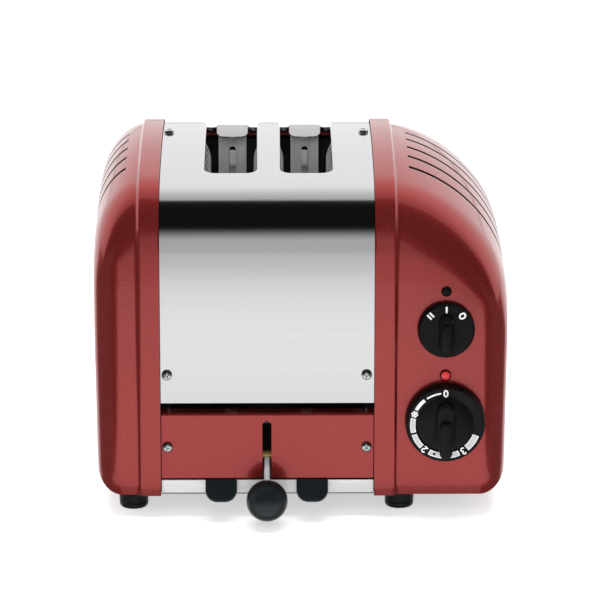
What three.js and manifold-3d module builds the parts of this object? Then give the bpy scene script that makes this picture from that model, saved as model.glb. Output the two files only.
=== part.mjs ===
// Pop-up toaster for two slices, in millimetres, +Z up, with its front towards -Y.
// A folded steel cover with two bread slots sits between two hollow end castings.
// X is counted from the middle of the width and Y from the middle of the body's depth;
// the last group moves everything back so that the origin lies under the middle of its box.
import * as THREE from 'three';
import { mergeVertices } from 'three/addons/utils/BufferGeometryUtils.js';
import Module from 'manifold-3d';

const wasm = await Module();
wasm.setup();

// ---------------------------------------------------------------- driving dimensions
const GAP = 0.3; // clearance between neighbouring solids
const BODY_WIDTH = 260;
const BODY_DEPTH = 210;
const BODY_HEIGHT = 220;
const CORNER_RADIUS = 42; // front and rear shoulders of the loaf-shaped side profile
const ARCH_RADIUS = 456; // the gentle crown of the top
const CORNER_STEPS = 7;
const ARCH_STEPS = 6;

const CASTING_BOTTOM = 15;
const CASTING_WALL = 2.6;
const STEP_DEPTH = 2.65; // the dome of a casting sits this far inside its raised band
const EDGE_RADIUS = 15.6; // rounding between the front of a casting and its side
const HEEL_RADIUS = 17; // rounding between the side of a casting and its bottom
const SIDE_DRAFT = 1.3; // how far the side leans in at the bottom
const DRAFT_HEIGHT = 95;
const LEFT_END = {
  sign: -1, inner: 88.5, bandEnd: 100.5, stepEnd: 104,
  crownStart: 98.9, crownDrop: 43.5, crownPower: 1.93, flatSteps: 2, ventStart: 110.5,
};
const RIGHT_END = {
  sign: 1, inner: 46, bandEnd: 58, stepEnd: 61.3,
  crownStart: 51.2, crownDrop: 72.6, crownPower: 1.78, flatSteps: 6, ventStart: 68.5,
};
const VENT_COUNT = 5;
const VENT_PITCH = 20.6;
const VENT_WIDTH = 3;
const VENT_BOTTOM = 89;

const COVER_OFFSET = 1.95; // the cover lies this far inside the bands
const COVER_THICKNESS = 1;
const COVER_BOTTOM = 76.3;
const COVER_LEFT = -LEFT_END.inner + GAP;
const COVER_RIGHT = RIGHT_END.inner - GAP;
const COVER_FACE = BODY_DEPTH / 2 - COVER_OFFSET;

const SLOT_CENTRES = [-44.1, 3.6];
const SLOT_NAMES = ['left', 'right'];
const SLOT_WIDTH = 33;
const SLOT_FRONT = -59;
const SLOT_REAR = 84;
const SLOT_CORNER = 7;
const TAB_WIDTH = 20.4; // the flange that slopes down into the rear end of a slot
const TAB_SLOPE = 30; // degrees below level
const TAB_LENGTH = 11.5;
const RELIEF_RADIUS = 3.8;

const PANEL_BOTTOM = 26.2;
const PANEL_TOP = 69.4;
const PANEL_THICKNESS = 1.2;
const PANEL_BEND = 1.8;
const PANEL_FLANGE = 10;
const LEVER_X = -21.6;
const LEVER_SLOT_WIDTH = 5.6;
const LEVER_SLOT_TOP = 64.2;

const BASE_Z = 16;
const BASE_THICKNESS = 1.2;
const BASE_HALF_WIDTH = 108;
const BASE_HALF_DEPTH = 99;
const FOOT_RADIUS = 9.5;
const FOOT_X = [-106.5, 62.6];
const FOOT_Y = 80;

const TRAY_Z = 18;
const TRAY_TOP = 25;
const TRAY_SHEET = 0.9;
const TRAY_LEFT = -86;
const TRAY_RIGHT = 43.5;
const TRAY_FRONT = -102.9;
const TRAY_REAR = 93;
const TRAY_LIP_BOTTOM = 15.7;
const TRAY_GRIPS = { left: -50.5, right: 6.9 };
const GRIP_WIDTH = 19.8;
const GRIP_THICKNESS = 3;
const GRIP_LENGTH = 13.5;
const GRIP_SLOPE = 42; // degrees below level
const GRIP_PAD = 1.6;

const CHAMBER_FRONT = -65.2; // rear face of the front end plate
const CHAMBER_REAR = 91; // front face of the rear end plate
const CHAMBER_LEFT = -73;
const CHAMBER_RIGHT = 32.5;
const END_PLATE_BOTTOM = 66;
const END_PLATE_TOP = 195;
const PLATE_SHEET = 0.8;
const GUIDE_SLOT_WIDTH = 4.4;
const GUIDE_SLOT_TOP = 191.5;
const GUIDE_WIDTH = 18.4;
const FRONT_WEB_Y = -61;
const FRONT_GUIDE_TOP = 196;
const REAR_WEB_Y = SLOT_REAR + 1.6;
const REAR_GUIDE_TOP = 198;

const RACK_TOP = 121.5; // where the bread stands with the rack raised
const RACK_SHEET = 1.5;
const ELEMENT_X = { left: -67.3, centre: -20.25, right: 26.8 };
const ELEMENT_SHEET = 1.4;
const ELEMENT_Y = [-57, 82];
const ELEMENT_HEIGHTS = [86, 186];
const GUARD_RADIUS = 0.9;
const GUARD_ENDS = [-54, 78];
const GUARD_HEIGHTS = { low: 88, shoulder: 188, top: 201 };
const GUARD_LEAN = 4.5;
const GUARD_RODS = 8;

const PIVOT = { y: -58, z: 48 };
const INNER_ARM = 75;
const LEVER_SWING = 30; // degrees, shared evenly above and below level
const LIFT_PIN = {
  y: PIVOT.y + INNER_ARM * Math.cos(THREE.MathUtils.degToRad(LEVER_SWING / 2)),
  z: PIVOT.z + INNER_ARM * Math.sin(THREE.MathUtils.degToRad(LEVER_SWING / 2)),
};
const BARREL = { y: -94, z: 38.8, radius: 2.6 };
const BALL = { y: -121, z: 17.5, radius: 13 };
const ROD_RADIUS = 1.9;
const PIN_RADIUS = 2;
const LEVER_PLATE_OFFSET = 5;
const LEVER_PLATE_SHEET = 1.6;

const CONTROL_X = 90.5;
const CASTING_FACE = BODY_DEPTH / 2 - STEP_DEPTH;
const INDEX_Z = 149.2;
const SELECTOR_Z = 124.8;
const NEON_Z = 94.2;
const TIMER_Z = 64.2;
const SELECTOR_KNOB = { radius: 17.9, skirt: 5.5, gripWidth: 9, gripSpan: [-12.5, 10.5], gripHeight: 9 };
const TIMER_KNOB = { radius: 25.2, skirt: 8, gripWidth: 12, gripSpan: [-20, 15], gripHeight: 11 };
const KNOB_STANDOFF = 0.7; // between a knob's skirt and the face of the casting
const SHAFT_LENGTH = 11;

const SCREW_HEAD_RADIUS = 3.4;
const SCREW_SHANK_RADIUS = 1.6;
const SCREW_X = { left: -84.2, right: 41 };
const COVER_SCREW_Z = 95;
const PANEL_SCREW_Z = 47.2;
const TOP_SCREW_Y = 25;

const GLAND = { x: 20, z: 46, bore: 3.6, reach: 115 };

// ---------------------------------------------------------------- materials
function finish(colour, roughness, metalness) {
  return new THREE.MeshStandardMaterial({ color: colour, roughness, metalness });
}

const RED_ENAMEL = finish(0xa01d1c, 0.18, 0.1);
const BRUSHED_STEEL = finish(0xc9cacc, 0.28, 1);
const PLAIN_STEEL = finish(0xb4b6b8, 0.4, 1);
const BLACK_PLASTIC = finish(0x1a1a1a, 0.42, 0);
const SATIN_PLASTIC = finish(0x14191c, 0.3, 0);
const BLACK_RUBBER = finish(0x1b2024, 0.75, 0);
const BRASS = finish(0xc8a050, 0.3, 1);
const MICA = finish(0x4a4a40, 0.7, 0);
const LAMP_RED = finish(0xe0302c, 0.15, 0);
const CERAMIC = finish(0xe6e0d2, 0.6, 0);

// ---------------------------------------------------------------- solids and booleans
function toSolid(geometry) {
  const bare = geometry.clone();
  bare.deleteAttribute('normal');
  bare.deleteAttribute('uv');
  const merged = mergeVertices(bare, 1e-4);
  return new wasm.Manifold(new wasm.Mesh({
    numProp: 3,
    vertProperties: new Float32Array(merged.attributes.position.array),
    triVerts: new Uint32Array(merged.index.array),
  }));
}

function toGeometry(solid) {
  const mesh = solid.getMesh();
  const geometry = new THREE.BufferGeometry();
  geometry.setAttribute('position', new THREE.BufferAttribute(new Float32Array(mesh.vertProperties), 3));
  geometry.setIndex(Array.from(mesh.triVerts));
  geometry.computeVertexNormals();
  return geometry;
}

function join(...solids) {
  return solids.reduce((whole, piece) => whole.add(piece));
}

function cut(solid, ...tools) {
  return tools.reduce((rest, tool) => rest.subtract(tool), solid);
}

function box(x, y, z) {
  const geometry = new THREE.BoxGeometry(x[1] - x[0], y[1] - y[0], z[1] - z[0]);
  geometry.translate((x[0] + x[1]) / 2, (y[0] + y[1]) / 2, (z[0] + z[1]) / 2);
  return toSolid(geometry);
}

// A round bar between two points given as [x, y, z].
function bar(from, to, radius, sides = 12) {
  const start = new THREE.Vector3(...from);
  const end = new THREE.Vector3(...to);
  const along = end.clone().sub(start);
  const geometry = new THREE.CylinderGeometry(radius, radius, along.length(), sides);
  geometry.applyQuaternion(new THREE.Quaternion().setFromUnitVectors(
    new THREE.Vector3(0, 1, 0), along.clone().normalize()));
  geometry.translate(...start.add(end).multiplyScalar(0.5).toArray());
  return toSolid(geometry);
}

// An outline of [y, z] points drawn in the side view and extruded along X.
function extrudeAlongX(outline, x) {
  const shape = new THREE.Shape(outline.map(([y, z]) => new THREE.Vector2(y, z)));
  const geometry = new THREE.ExtrudeGeometry(shape, { depth: x[1] - x[0], bevelEnabled: false });
  geometry.applyMatrix4(new THREE.Matrix4().makeBasis(
    new THREE.Vector3(0, 1, 0), new THREE.Vector3(0, 0, 1), new THREE.Vector3(1, 0, 0)));
  geometry.translate(x[0], 0, 0);
  return toSolid(geometry);
}

// A shape drawn in the plan view (x, y) and extruded along Z.
function extrudeAlongZ(shape, z, curveSegments = 5) {
  const geometry = new THREE.ExtrudeGeometry(shape, {
    depth: z[1] - z[0], bevelEnabled: false, curveSegments,
  });
  geometry.translate(0, 0, z[0]);
  return toSolid(geometry);
}

// A turned piece whose profile of [radius, height] points is spun round an axis along Y.
// Height zero lies at y and grows in the direction of facing, -1 for the front.
function turnedAlongY(profile, x, y, z, facing, segments) {
  const geometry = new THREE.LatheGeometry(profile.map(([r, h]) => new THREE.Vector2(r, h)), segments);
  geometry.rotateX(facing < 0 ? Math.PI : 0);
  geometry.translate(x, y, z);
  return toSolid(geometry);
}

function roundedRectangle(x, y, radius) {
  const shape = new THREE.Shape();
  shape.moveTo(x[0] + radius, y[0]);
  shape.lineTo(x[1] - radius, y[0]);
  shape.absarc(x[1] - radius, y[0] + radius, radius, -Math.PI / 2, 0);
  shape.lineTo(x[1], y[1] - radius);
  shape.absarc(x[1] - radius, y[1] - radius, radius, 0, Math.PI / 2);
  shape.lineTo(x[0] + radius, y[1]);
  shape.absarc(x[0] + radius, y[1] - radius, radius, Math.PI / 2, Math.PI);
  shape.lineTo(x[0], y[0] + radius);
  shape.absarc(x[0] + radius, y[0] + radius, radius, Math.PI, Math.PI * 1.5);
  return shape;
}

const toaster = new THREE.Group();

function add(name, solid, material) {
  const mesh = new THREE.Mesh(toGeometry(solid), material);
  mesh.name = name;
  toaster.add(mesh);
}

// ---------------------------------------------------------------- the loaf-shaped side profile
// Points [y, z] from the front bottom corner over the top to the rear bottom corner.
// offset shrinks the profile all round, side brings front and rear in, drop lowers the top.
function loafOutline({ offset = 0, side = 0, drop = 0, bottom }) {
  const half = BODY_DEPTH / 2 - offset - side;
  const radius = CORNER_RADIUS - offset - side;
  const archRadius = ARCH_RADIUS - offset;
  const archCentre = BODY_HEIGHT - offset - drop - archRadius;
  const cornerY = half - radius;
  const cornerZ = archCentre + Math.sqrt((archRadius - radius) ** 2 - cornerY ** 2);
  const meet = Math.atan2(cornerY, cornerZ - archCentre);
  const rearShoulder = [];
  for (let i = 0; i <= CORNER_STEPS; i += 1) {
    const angle = meet + (Math.PI / 2 - meet) * i / CORNER_STEPS;
    rearShoulder.push([cornerY + radius * Math.sin(angle), cornerZ + radius * Math.cos(angle)]);
  }
  const crown = [];
  for (let i = 1; i < ARCH_STEPS; i += 1) {
    const angle = meet * (2 * i / ARCH_STEPS - 1);
    crown.push([archRadius * Math.sin(angle), archCentre + archRadius * Math.cos(angle)]);
  }
  const frontShoulder = rearShoulder.map(([y, z]) => [-y, z]).reverse();
  return [[-half, bottom], ...frontShoulder, ...crown, ...rearShoulder, [half, bottom]];
}

// Height of the cover's outer face over a place y.
function coverHeight(y) {
  const outline = loafOutline({ offset: COVER_OFFSET, bottom: COVER_BOTTOM });
  const next = outline.findIndex((point, i) => i > 1 && point[0] > y);
  const [from, to] = [outline[next - 1], outline[next]];
  return from[1] + (to[1] - from[1]) * (y - from[0]) / (to[0] - from[0]);
}

// A solid through sections of { x, outline }, given in order of growing x.
function loft(sections) {
  const count = sections[0].outline.length;
  const positions = sections.flatMap(({ x, outline }) => (
    outline.flatMap(([y, z, lean = 0]) => [x + lean, y, z])));
  const index = [];
  for (let s = 0; s + 1 < sections.length; s += 1) {
    for (let p = 0; p < count; p += 1) {
      const a = s * count + p;
      const b = s * count + (p + 1) % count;
      index.push(a, a + count, b + count, a, b + count, b);
    }
  }
  const last = (sections.length - 1) * count;
  for (let p = 1; p + 1 < count; p += 1) {
    index.push(0, p, p + 1, last, last + p + 1, last + p);
  }
  const geometry = new THREE.BufferGeometry();
  geometry.setAttribute('position', new THREE.Float32BufferAttribute(positions, 3));
  geometry.setIndex(index);
  return toSolid(geometry);
}

// ---------------------------------------------------------------- end castings
function roundingRise(reach, radius) {
  const share = Math.max(0, (reach - (BODY_WIDTH / 2 - radius)) / radius);
  return radius * (1 - Math.sqrt(Math.max(0, 1 - share ** 2)));
}

function crownDrop(end, reach) {
  const share = Math.min(1, (reach - end.crownStart) / (BODY_WIDTH / 2 - end.crownStart));
  return end.crownDrop * (1 - (1 - share ** end.crownPower) ** (1 / end.crownPower));
}

// How far from the middle each section of a dome lies, from its step to its outer face.
function domeReaches(end) {
  const reaches = [];
  const edgeStart = BODY_WIDTH / 2 - EDGE_RADIUS;
  for (let i = 0; i < end.flatSteps; i += 1) {
    reaches.push(end.stepEnd + (edgeStart - end.stepEnd) * i / end.flatSteps);
  }
  for (let i = 0; i <= 5; i += 1) {
    reaches.push(edgeStart + EDGE_RADIUS * Math.sin(i * Math.PI / 10));
  }
  return reaches;
}

// The side leans in towards the bottom, most of all at the outer face.
function withDraft(end, reach, outline) {
  const share = Math.max(0, (reach - end.stepEnd) / (BODY_WIDTH / 2 - end.stepEnd));
  return outline.map(([y, z]) => {
    const low = Math.max(0, 1 - (z - CASTING_BOTTOM) / DRAFT_HEIGHT);
    return [y, z, -end.sign * SIDE_DRAFT * share * Math.min(1, low)];
  });
}

function domeSection(end, reach, wall, bottom) {
  const outline = loafOutline({
    offset: STEP_DEPTH + wall,
    side: roundingRise(reach, EDGE_RADIUS),
    drop: crownDrop(end, reach),
    bottom,
  });
  return { x: end.sign * (reach - wall), outline: withDraft(end, reach, outline) };
}

function inOrder(end, sections) {
  return end.sign > 0 ? sections : sections.reverse();
}

function castingOutside(end) {
  const band = [end.inner, end.bandEnd].map((reach) => (
    { x: end.sign * reach, outline: loafOutline({ bottom: CASTING_BOTTOM }) }));
  const dome = domeReaches(end).map((reach) => (
    domeSection(end, reach, 0, CASTING_BOTTOM + roundingRise(reach, HEEL_RADIUS))));
  return loft(inOrder(end, [...band, ...dome]));
}

// The hollow is open towards the cover and open below, up to the rounded heel.
function castingHollow(end) {
  const below = CASTING_BOTTOM - 10;
  const heelStart = BODY_WIDTH / 2 - HEEL_RADIUS;
  const mouth = {
    x: end.sign * (end.inner - 1),
    outline: loafOutline({ offset: STEP_DEPTH + CASTING_WALL, bottom: below }),
  };
  const open = [...domeReaches(end).filter((reach) => reach < heelStart - 1), heelStart - GAP];
  const heel = [heelStart + 1, ...domeReaches(end).filter((reach) => reach > heelStart + 1.2)];
  return loft(inOrder(end, [
    mouth,
    ...open.map((reach) => domeSection(end, reach, CASTING_WALL, below)),
    ...heel.map((reach) => domeSection(
      end, reach, CASTING_WALL, CASTING_BOTTOM + CASTING_WALL + roundingRise(reach, HEEL_RADIUS))),
  ]));
}

function vents(end) {
  const across = [end.sign * end.ventStart, end.sign * (BODY_WIDTH / 2 + 5)].sort((a, b) => a - b);
  return Array.from({ length: VENT_COUNT }, (_, i) => {
    const y = (i - (VENT_COUNT - 1) / 2) * VENT_PITCH;
    return box(across, [y - VENT_WIDTH / 2, y + VENT_WIDTH / 2], [VENT_BOTTOM, BODY_HEIGHT + 5]);
  });
}

// Lugs behind the edges of the cover and of the lower panels, where their screws bite.
function castingLugs(end) {
  const offset = COVER_OFFSET + PANEL_THICKNESS + 0.45;
  const reach = end.inner - 9;
  const x = [end.sign * reach, end.sign * (end.inner + 1)].sort((a, b) => a - b);
  const skin = cut(
    extrudeAlongX(loafOutline({ offset, bottom: CASTING_BOTTOM + 5 }), x),
    extrudeAlongX(loafOutline({ offset: STEP_DEPTH + CASTING_WALL + 1, bottom: CASTING_BOTTOM }), x));
  const deep = [-BODY_DEPTH / 2, BODY_DEPTH / 2];
  const places = join(
    box(x, deep, [COVER_SCREW_Z - 7, COVER_SCREW_Z + 7]),
    box(x, deep, [PANEL_SCREW_Z - 7, PANEL_SCREW_Z + 7]),
    box(x, [TOP_SCREW_Y - 7, TOP_SCREW_Y + 7], [BODY_HEIGHT - 30, BODY_HEIGHT]));
  return skin.intersect(places);
}

function screwHoles(side) {
  const radius = SCREW_SHANK_RADIUS + 0.4;
  const x = SCREW_X[side];
  const through = BODY_DEPTH / 2;
  return join(
    bar([x, -through, COVER_SCREW_Z], [x, through, COVER_SCREW_Z], radius, 10),
    bar([x, -through, PANEL_SCREW_Z], [x, through, PANEL_SCREW_Z], radius, 10),
    bar([x, TOP_SCREW_Y, BODY_HEIGHT - 20], [x, TOP_SCREW_Y, BODY_HEIGHT + 5], radius, 10));
}

function casting(end, side) {
  return cut(
    join(cut(castingOutside(end), castingHollow(end)), castingLugs(end)),
    ...vents(end),
    screwHoles(side));
}

function controlHole(z, radius) {
  return bar([CONTROL_X, -BODY_DEPTH / 2 - 1, z], [CONTROL_X, -CASTING_FACE + 8, z], radius, 16);
}

const NEON_HOLE_RADIUS = 3.3;
const INDEX_STEM_RADIUS = 2.2;
const SELECTOR_SHAFT_RADIUS = 3;
const TIMER_SHAFT_RADIUS = 3.2;

add('left_end_casting', casting(LEFT_END, 'left'), RED_ENAMEL);
add('right_end_casting', cut(
  casting(RIGHT_END, 'right'),
  controlHole(SELECTOR_Z, SELECTOR_SHAFT_RADIUS + 0.6),
  controlHole(TIMER_Z, TIMER_SHAFT_RADIUS + 0.6),
  controlHole(NEON_Z, NEON_HOLE_RADIUS),
  controlHole(INDEX_Z, INDEX_STEM_RADIUS + GAP)), RED_ENAMEL);

// ---------------------------------------------------------------- steel cover
function slotCutter(centre) {
  const x = [centre - SLOT_WIDTH / 2, centre + SLOT_WIDTH / 2];
  const mouth = extrudeAlongZ(
    roundedRectangle(x, [SLOT_FRONT, SLOT_REAR], SLOT_CORNER), [185, BODY_HEIGHT + 5]);
  const rearHalf = box(x, [SLOT_REAR - 30, SLOT_REAR], [185, BODY_HEIGHT + 5]);
  const reliefs = [-1, 1].map((side) => {
    const reliefX = centre + side * (TAB_WIDTH / 2 + RELIEF_RADIUS);
    return bar([reliefX, SLOT_REAR, 185], [reliefX, SLOT_REAR, BODY_HEIGHT], RELIEF_RADIUS, 12);
  });
  return join(mouth, rearHalf, ...reliefs);
}

function slotTab(centre) {
  const slope = THREE.MathUtils.degToRad(TAB_SLOPE);
  const ahead = TAB_LENGTH * Math.cos(slope);
  const down = TAB_LENGTH * Math.sin(slope);
  const rootY = SLOT_REAR + COVER_THICKNESS;
  const root = [rootY, coverHeight(rootY) - COVER_THICKNESS * 0.4];
  const under = COVER_THICKNESS * 0.9;
  return extrudeAlongX([
    root,
    [root[0], root[1] - under],
    [SLOT_REAR - ahead, root[1] - under - down],
    [SLOT_REAR - ahead, root[1] - down],
  ].reverse(), [centre - TAB_WIDTH / 2, centre + TAB_WIDTH / 2]);
}

function bodyCover() {
  const outer = loafOutline({ offset: COVER_OFFSET, bottom: COVER_BOTTOM });
  const inner = loafOutline({ offset: COVER_OFFSET + COVER_THICKNESS, bottom: COVER_BOTTOM });
  const sheet = extrudeAlongX([...outer, ...inner.reverse()].reverse(), [COVER_LEFT, COVER_RIGHT]);
  const opened = cut(sheet, ...SLOT_CENTRES.map(slotCutter), screwHoles('left'), screwHoles('right'));
  return join(opened, ...SLOT_CENTRES.map(slotTab));
}

add('body_cover', bodyCover(), BRUSHED_STEEL);

// ---------------------------------------------------------------- lower panels
// facing is -1 for the front panel and 1 for the rear one.
function lowerPanel(facing) {
  const face = facing * COVER_FACE;
  const back = facing * (COVER_FACE - PANEL_THICKNESS);
  const flangeEnd = facing * (COVER_FACE - PANEL_FLANGE);
  const outline = [
    [face, PANEL_BOTTOM],
    [face, PANEL_TOP - PANEL_BEND],
    [facing * (COVER_FACE - PANEL_BEND * 0.3), PANEL_TOP - PANEL_BEND * 0.3],
    [facing * (COVER_FACE - PANEL_BEND), PANEL_TOP],
    [flangeEnd, PANEL_TOP],
    [flangeEnd, PANEL_TOP - PANEL_THICKNESS],
    [facing * (COVER_FACE - PANEL_BEND), PANEL_TOP - PANEL_THICKNESS],
    [back, PANEL_TOP - PANEL_BEND],
    [back, PANEL_BOTTOM],
  ];
  const sheet = extrudeAlongX(facing < 0 ? outline.reverse() : outline, [COVER_LEFT, COVER_RIGHT]);
  return cut(sheet, screwHoles('left'), screwHoles('right'));
}

function leverSlot() {
  const radius = LEVER_SLOT_WIDTH / 2;
  const roundTop = LEVER_SLOT_TOP - radius;
  const y = [-BODY_DEPTH / 2, -BODY_DEPTH / 2 + 6];
  return join(
    box([LEVER_X - radius, LEVER_X + radius], y, [PANEL_BOTTOM - 1, roundTop]),
    bar([LEVER_X, y[0], roundTop], [LEVER_X, y[1], roundTop], radius, 16));
}

add('front_lower_panel', cut(lowerPanel(-1), leverSlot()), RED_ENAMEL);
add('rear_lower_panel', cut(
  lowerPanel(1),
  bar([GLAND.x, 95, GLAND.z], [GLAND.x, 110, GLAND.z], 6.8, 16)), RED_ENAMEL);

// ---------------------------------------------------------------- base, feet and crumb tray
const FOOT_SOCKET_RADIUS = 3;

add('base_plate', box(
  [-BASE_HALF_WIDTH, BASE_HALF_WIDTH],
  [-BASE_HALF_DEPTH, BASE_HALF_DEPTH],
  [BASE_Z, BASE_Z + BASE_THICKNESS]), PLAIN_STEEL);

function foot(x, y) {
  const profile = [
    [0, 0], [FOOT_RADIUS - 2.2, 0], [FOOT_RADIUS - 0.6, 1], [FOOT_RADIUS - 0.3, 3],
    [FOOT_RADIUS, CASTING_BOTTOM - GAP], [FOOT_SOCKET_RADIUS, CASTING_BOTTOM - GAP],
    [FOOT_SOCKET_RADIUS, BASE_Z - GAP], [0, BASE_Z - GAP],
  ];
  const geometry = new THREE.LatheGeometry(profile.map(([r, h]) => new THREE.Vector2(r, h)), 20);
  geometry.rotateX(Math.PI / 2);
  geometry.translate(x, y, 0);
  return toSolid(geometry);
}

for (const [row, y] of [['front', -FOOT_Y], ['rear', FOOT_Y]]) {
  FOOT_X.forEach((x, i) => add(`${row}_foot_${SLOT_NAMES[i]}`, foot(x, y), BLACK_RUBBER));
}

const LIP_ACROSS = [COVER_LEFT, COVER_RIGHT];

function crumbTray() {
  const x = [TRAY_LEFT, TRAY_RIGHT];
  const y = [TRAY_FRONT + TRAY_SHEET / 2, TRAY_REAR];
  const z = [TRAY_Z, TRAY_TOP];
  return join(
    box(x, y, [TRAY_Z, TRAY_Z + TRAY_SHEET]),
    box([x[0], x[0] + TRAY_SHEET], y, z),
    box([x[1] - TRAY_SHEET, x[1]], y, z),
    box(x, [TRAY_REAR - TRAY_SHEET, TRAY_REAR], z),
    box(LIP_ACROSS, [TRAY_FRONT, TRAY_FRONT + TRAY_SHEET], [TRAY_LIP_BOTTOM, TRAY_TOP]));
}

// A finger grip: a pad against the tray's lip with a rounded tongue sloping down and forward.
function trayGrip(x) {
  const half = GRIP_WIDTH / 2;
  const thickness = GRIP_THICKNESS;
  const length = GRIP_LENGTH;
  const slope = THREE.MathUtils.degToRad(GRIP_SLOPE);
  const back = TRAY_FRONT - GAP;
  const tongue = new THREE.ExtrudeGeometry(
    roundedRectangle([-half, half], [-length, length], 7.5),
    { depth: thickness, bevelEnabled: false, curveSegments: 5 });
  tongue.rotateX(slope);
  tongue.translate(x, back, TRAY_TOP - thickness - 0.4);
  const front = box([x - half - 1, x + half + 1], [back - 2 * length, back], [0, 2 * TRAY_TOP]);
  const pad = box([x - half, x + half], [back - GRIP_PAD, back], [TRAY_LIP_BOTTOM + 0.8, TRAY_TOP]);
  return join(toSolid(tongue).intersect(front), pad);
}

add('crumb_tray', crumbTray(), PLAIN_STEEL);
for (const [side, x] of Object.entries(TRAY_GRIPS)) {
  add(`tray_grip_${side}`, trayGrip(x), SATIN_PLASTIC);
}

// ---------------------------------------------------------------- toasting chamber
function guideNotch(x, y, width, top) {
  return box([x - width / 2, x + width / 2], y, [END_PLATE_BOTTOM - 5, top]);
}

function endPlate(y) {
  const plate = box([CHAMBER_LEFT, CHAMBER_RIGHT], y, [END_PLATE_BOTTOM, END_PLATE_TOP]);
  const notches = SLOT_CENTRES.map((x) => guideNotch(x, y, GUIDE_SLOT_WIDTH + 2, GUIDE_SLOT_TOP - 4));
  return cut(plate, ...notches);
}

add('front_end_plate', endPlate([CHAMBER_FRONT - PLATE_SHEET, CHAMBER_FRONT]), PLAIN_STEEL);
add('rear_end_plate', endPlate([CHAMBER_REAR, CHAMBER_REAR + PLATE_SHEET]), PLAIN_STEEL);

// A channel with a slot that keeps the end of a bread rack upright. web is its slotted face
// and root the edge of its flanges, both as places along Y.
function guideChannel(x, web, root, top) {
  const inward = Math.sign(root - web);
  const webY = [web, web + inward * PLATE_SHEET].sort((a, b) => a - b);
  const flangeY = [web, root].sort((a, b) => a - b);
  const z = [END_PLATE_BOTTOM + 2, top];
  const half = GUIDE_WIDTH / 2;
  const radius = GUIDE_SLOT_WIDTH / 2;
  const roundTop = GUIDE_SLOT_TOP - radius;
  const through = [webY[0] - 1, webY[1] + 1];
  const channel = join(
    box([x - half, x + half], webY, z),
    box([x - half, x - half + PLATE_SHEET], flangeY, z),
    box([x + half - PLATE_SHEET, x + half], flangeY, z));
  return cut(
    channel,
    guideNotch(x, through, GUIDE_SLOT_WIDTH, roundTop),
    bar([x, through[0], roundTop], [x, through[1], roundTop], radius, 12));
}

SLOT_CENTRES.forEach((x, i) => {
  const side = SLOT_NAMES[i];
  const front = guideChannel(x, FRONT_WEB_Y, CHAMBER_FRONT + GAP, FRONT_GUIDE_TOP);
  const rear = guideChannel(x, REAR_WEB_Y, CHAMBER_REAR - GAP, REAR_GUIDE_TOP);
  add(`front_guide_${side}`, front, PLAIN_STEEL);
  add(`rear_guide_${side}`, rear, PLAIN_STEEL);
});

const SHIELD_Y = [-64, 90];
const SHIELD_Z = [72, 200];
add('left_heat_shield', box(
  [CHAMBER_LEFT - GAP - PLATE_SHEET, CHAMBER_LEFT - GAP], SHIELD_Y, SHIELD_Z), PLAIN_STEEL);
add('right_heat_shield', box(
  [CHAMBER_RIGHT + GAP, CHAMBER_RIGHT + GAP + PLATE_SHEET], SHIELD_Y, SHIELD_Z), PLAIN_STEEL);

for (const [side, x] of Object.entries(ELEMENT_X)) {
  const across = [x - ELEMENT_SHEET / 2, x + ELEMENT_SHEET / 2];
  add(`heating_element_${side}`, box(across, ELEMENT_Y, ELEMENT_HEIGHTS), MICA);
}

// A wire guard: rods that keep the bread off the element, leaning outwards at the top.
function breadGuard(x, outward) {
  const { low, shoulder, top } = GUARD_HEIGHTS;
  const [front, rear] = GUARD_ENDS;
  const topX = x + outward * GUARD_LEAN;
  const wires = [
    bar([x, front - 1, low], [x, rear + 1, low], GUARD_RADIUS, 4),
    bar([topX, front - 1, top], [topX, rear + 1, top], GUARD_RADIUS, 4),
  ];
  for (let i = 0; i < GUARD_RODS; i += 1) {
    const y = front + (rear - front) * i / (GUARD_RODS - 1);
    wires.push(bar([x, y, low], [x, y, shoulder + 0.4], GUARD_RADIUS * 0.9, 4));
    wires.push(bar([x, y, shoulder], [topX, y, top], GUARD_RADIUS * 0.9, 4));
  }
  return join(...wires);
}

SLOT_CENTRES.forEach((centre, i) => {
  for (const [hand, outward] of [['outer', i === 0 ? -1 : 1], ['inner', i === 0 ? 1 : -1]]) {
    const x = centre + outward * (SLOT_WIDTH / 2 - 1.6);
    add(`bread_guard_${SLOT_NAMES[i]}_${hand}`, breadGuard(x, outward), BRUSHED_STEEL);
  }
});

// ---------------------------------------------------------------- bread carriage
const YOKE_Z = [74, 76];
const YOKE_Y = [LIFT_PIN.y - 7, LIFT_PIN.y + 9];

function breadRack(x) {
  const half = RACK_SHEET / 2;
  const sheet = [x - half, x + half];
  return join(
    box([x - 7, x + 7], [-52, 76], [RACK_TOP - 1.5, RACK_TOP]),
    box(sheet, [-52, 76], [RACK_TOP - 12, RACK_TOP - 0.5]),
    box(sheet, [CHAMBER_FRONT - 3, CHAMBER_REAR + 3], [RACK_TOP - 11.5, RACK_TOP - 3.5]),
    box(sheet, YOKE_Y, [YOKE_Z[1] + GAP, RACK_TOP - 10]));
}

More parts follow.
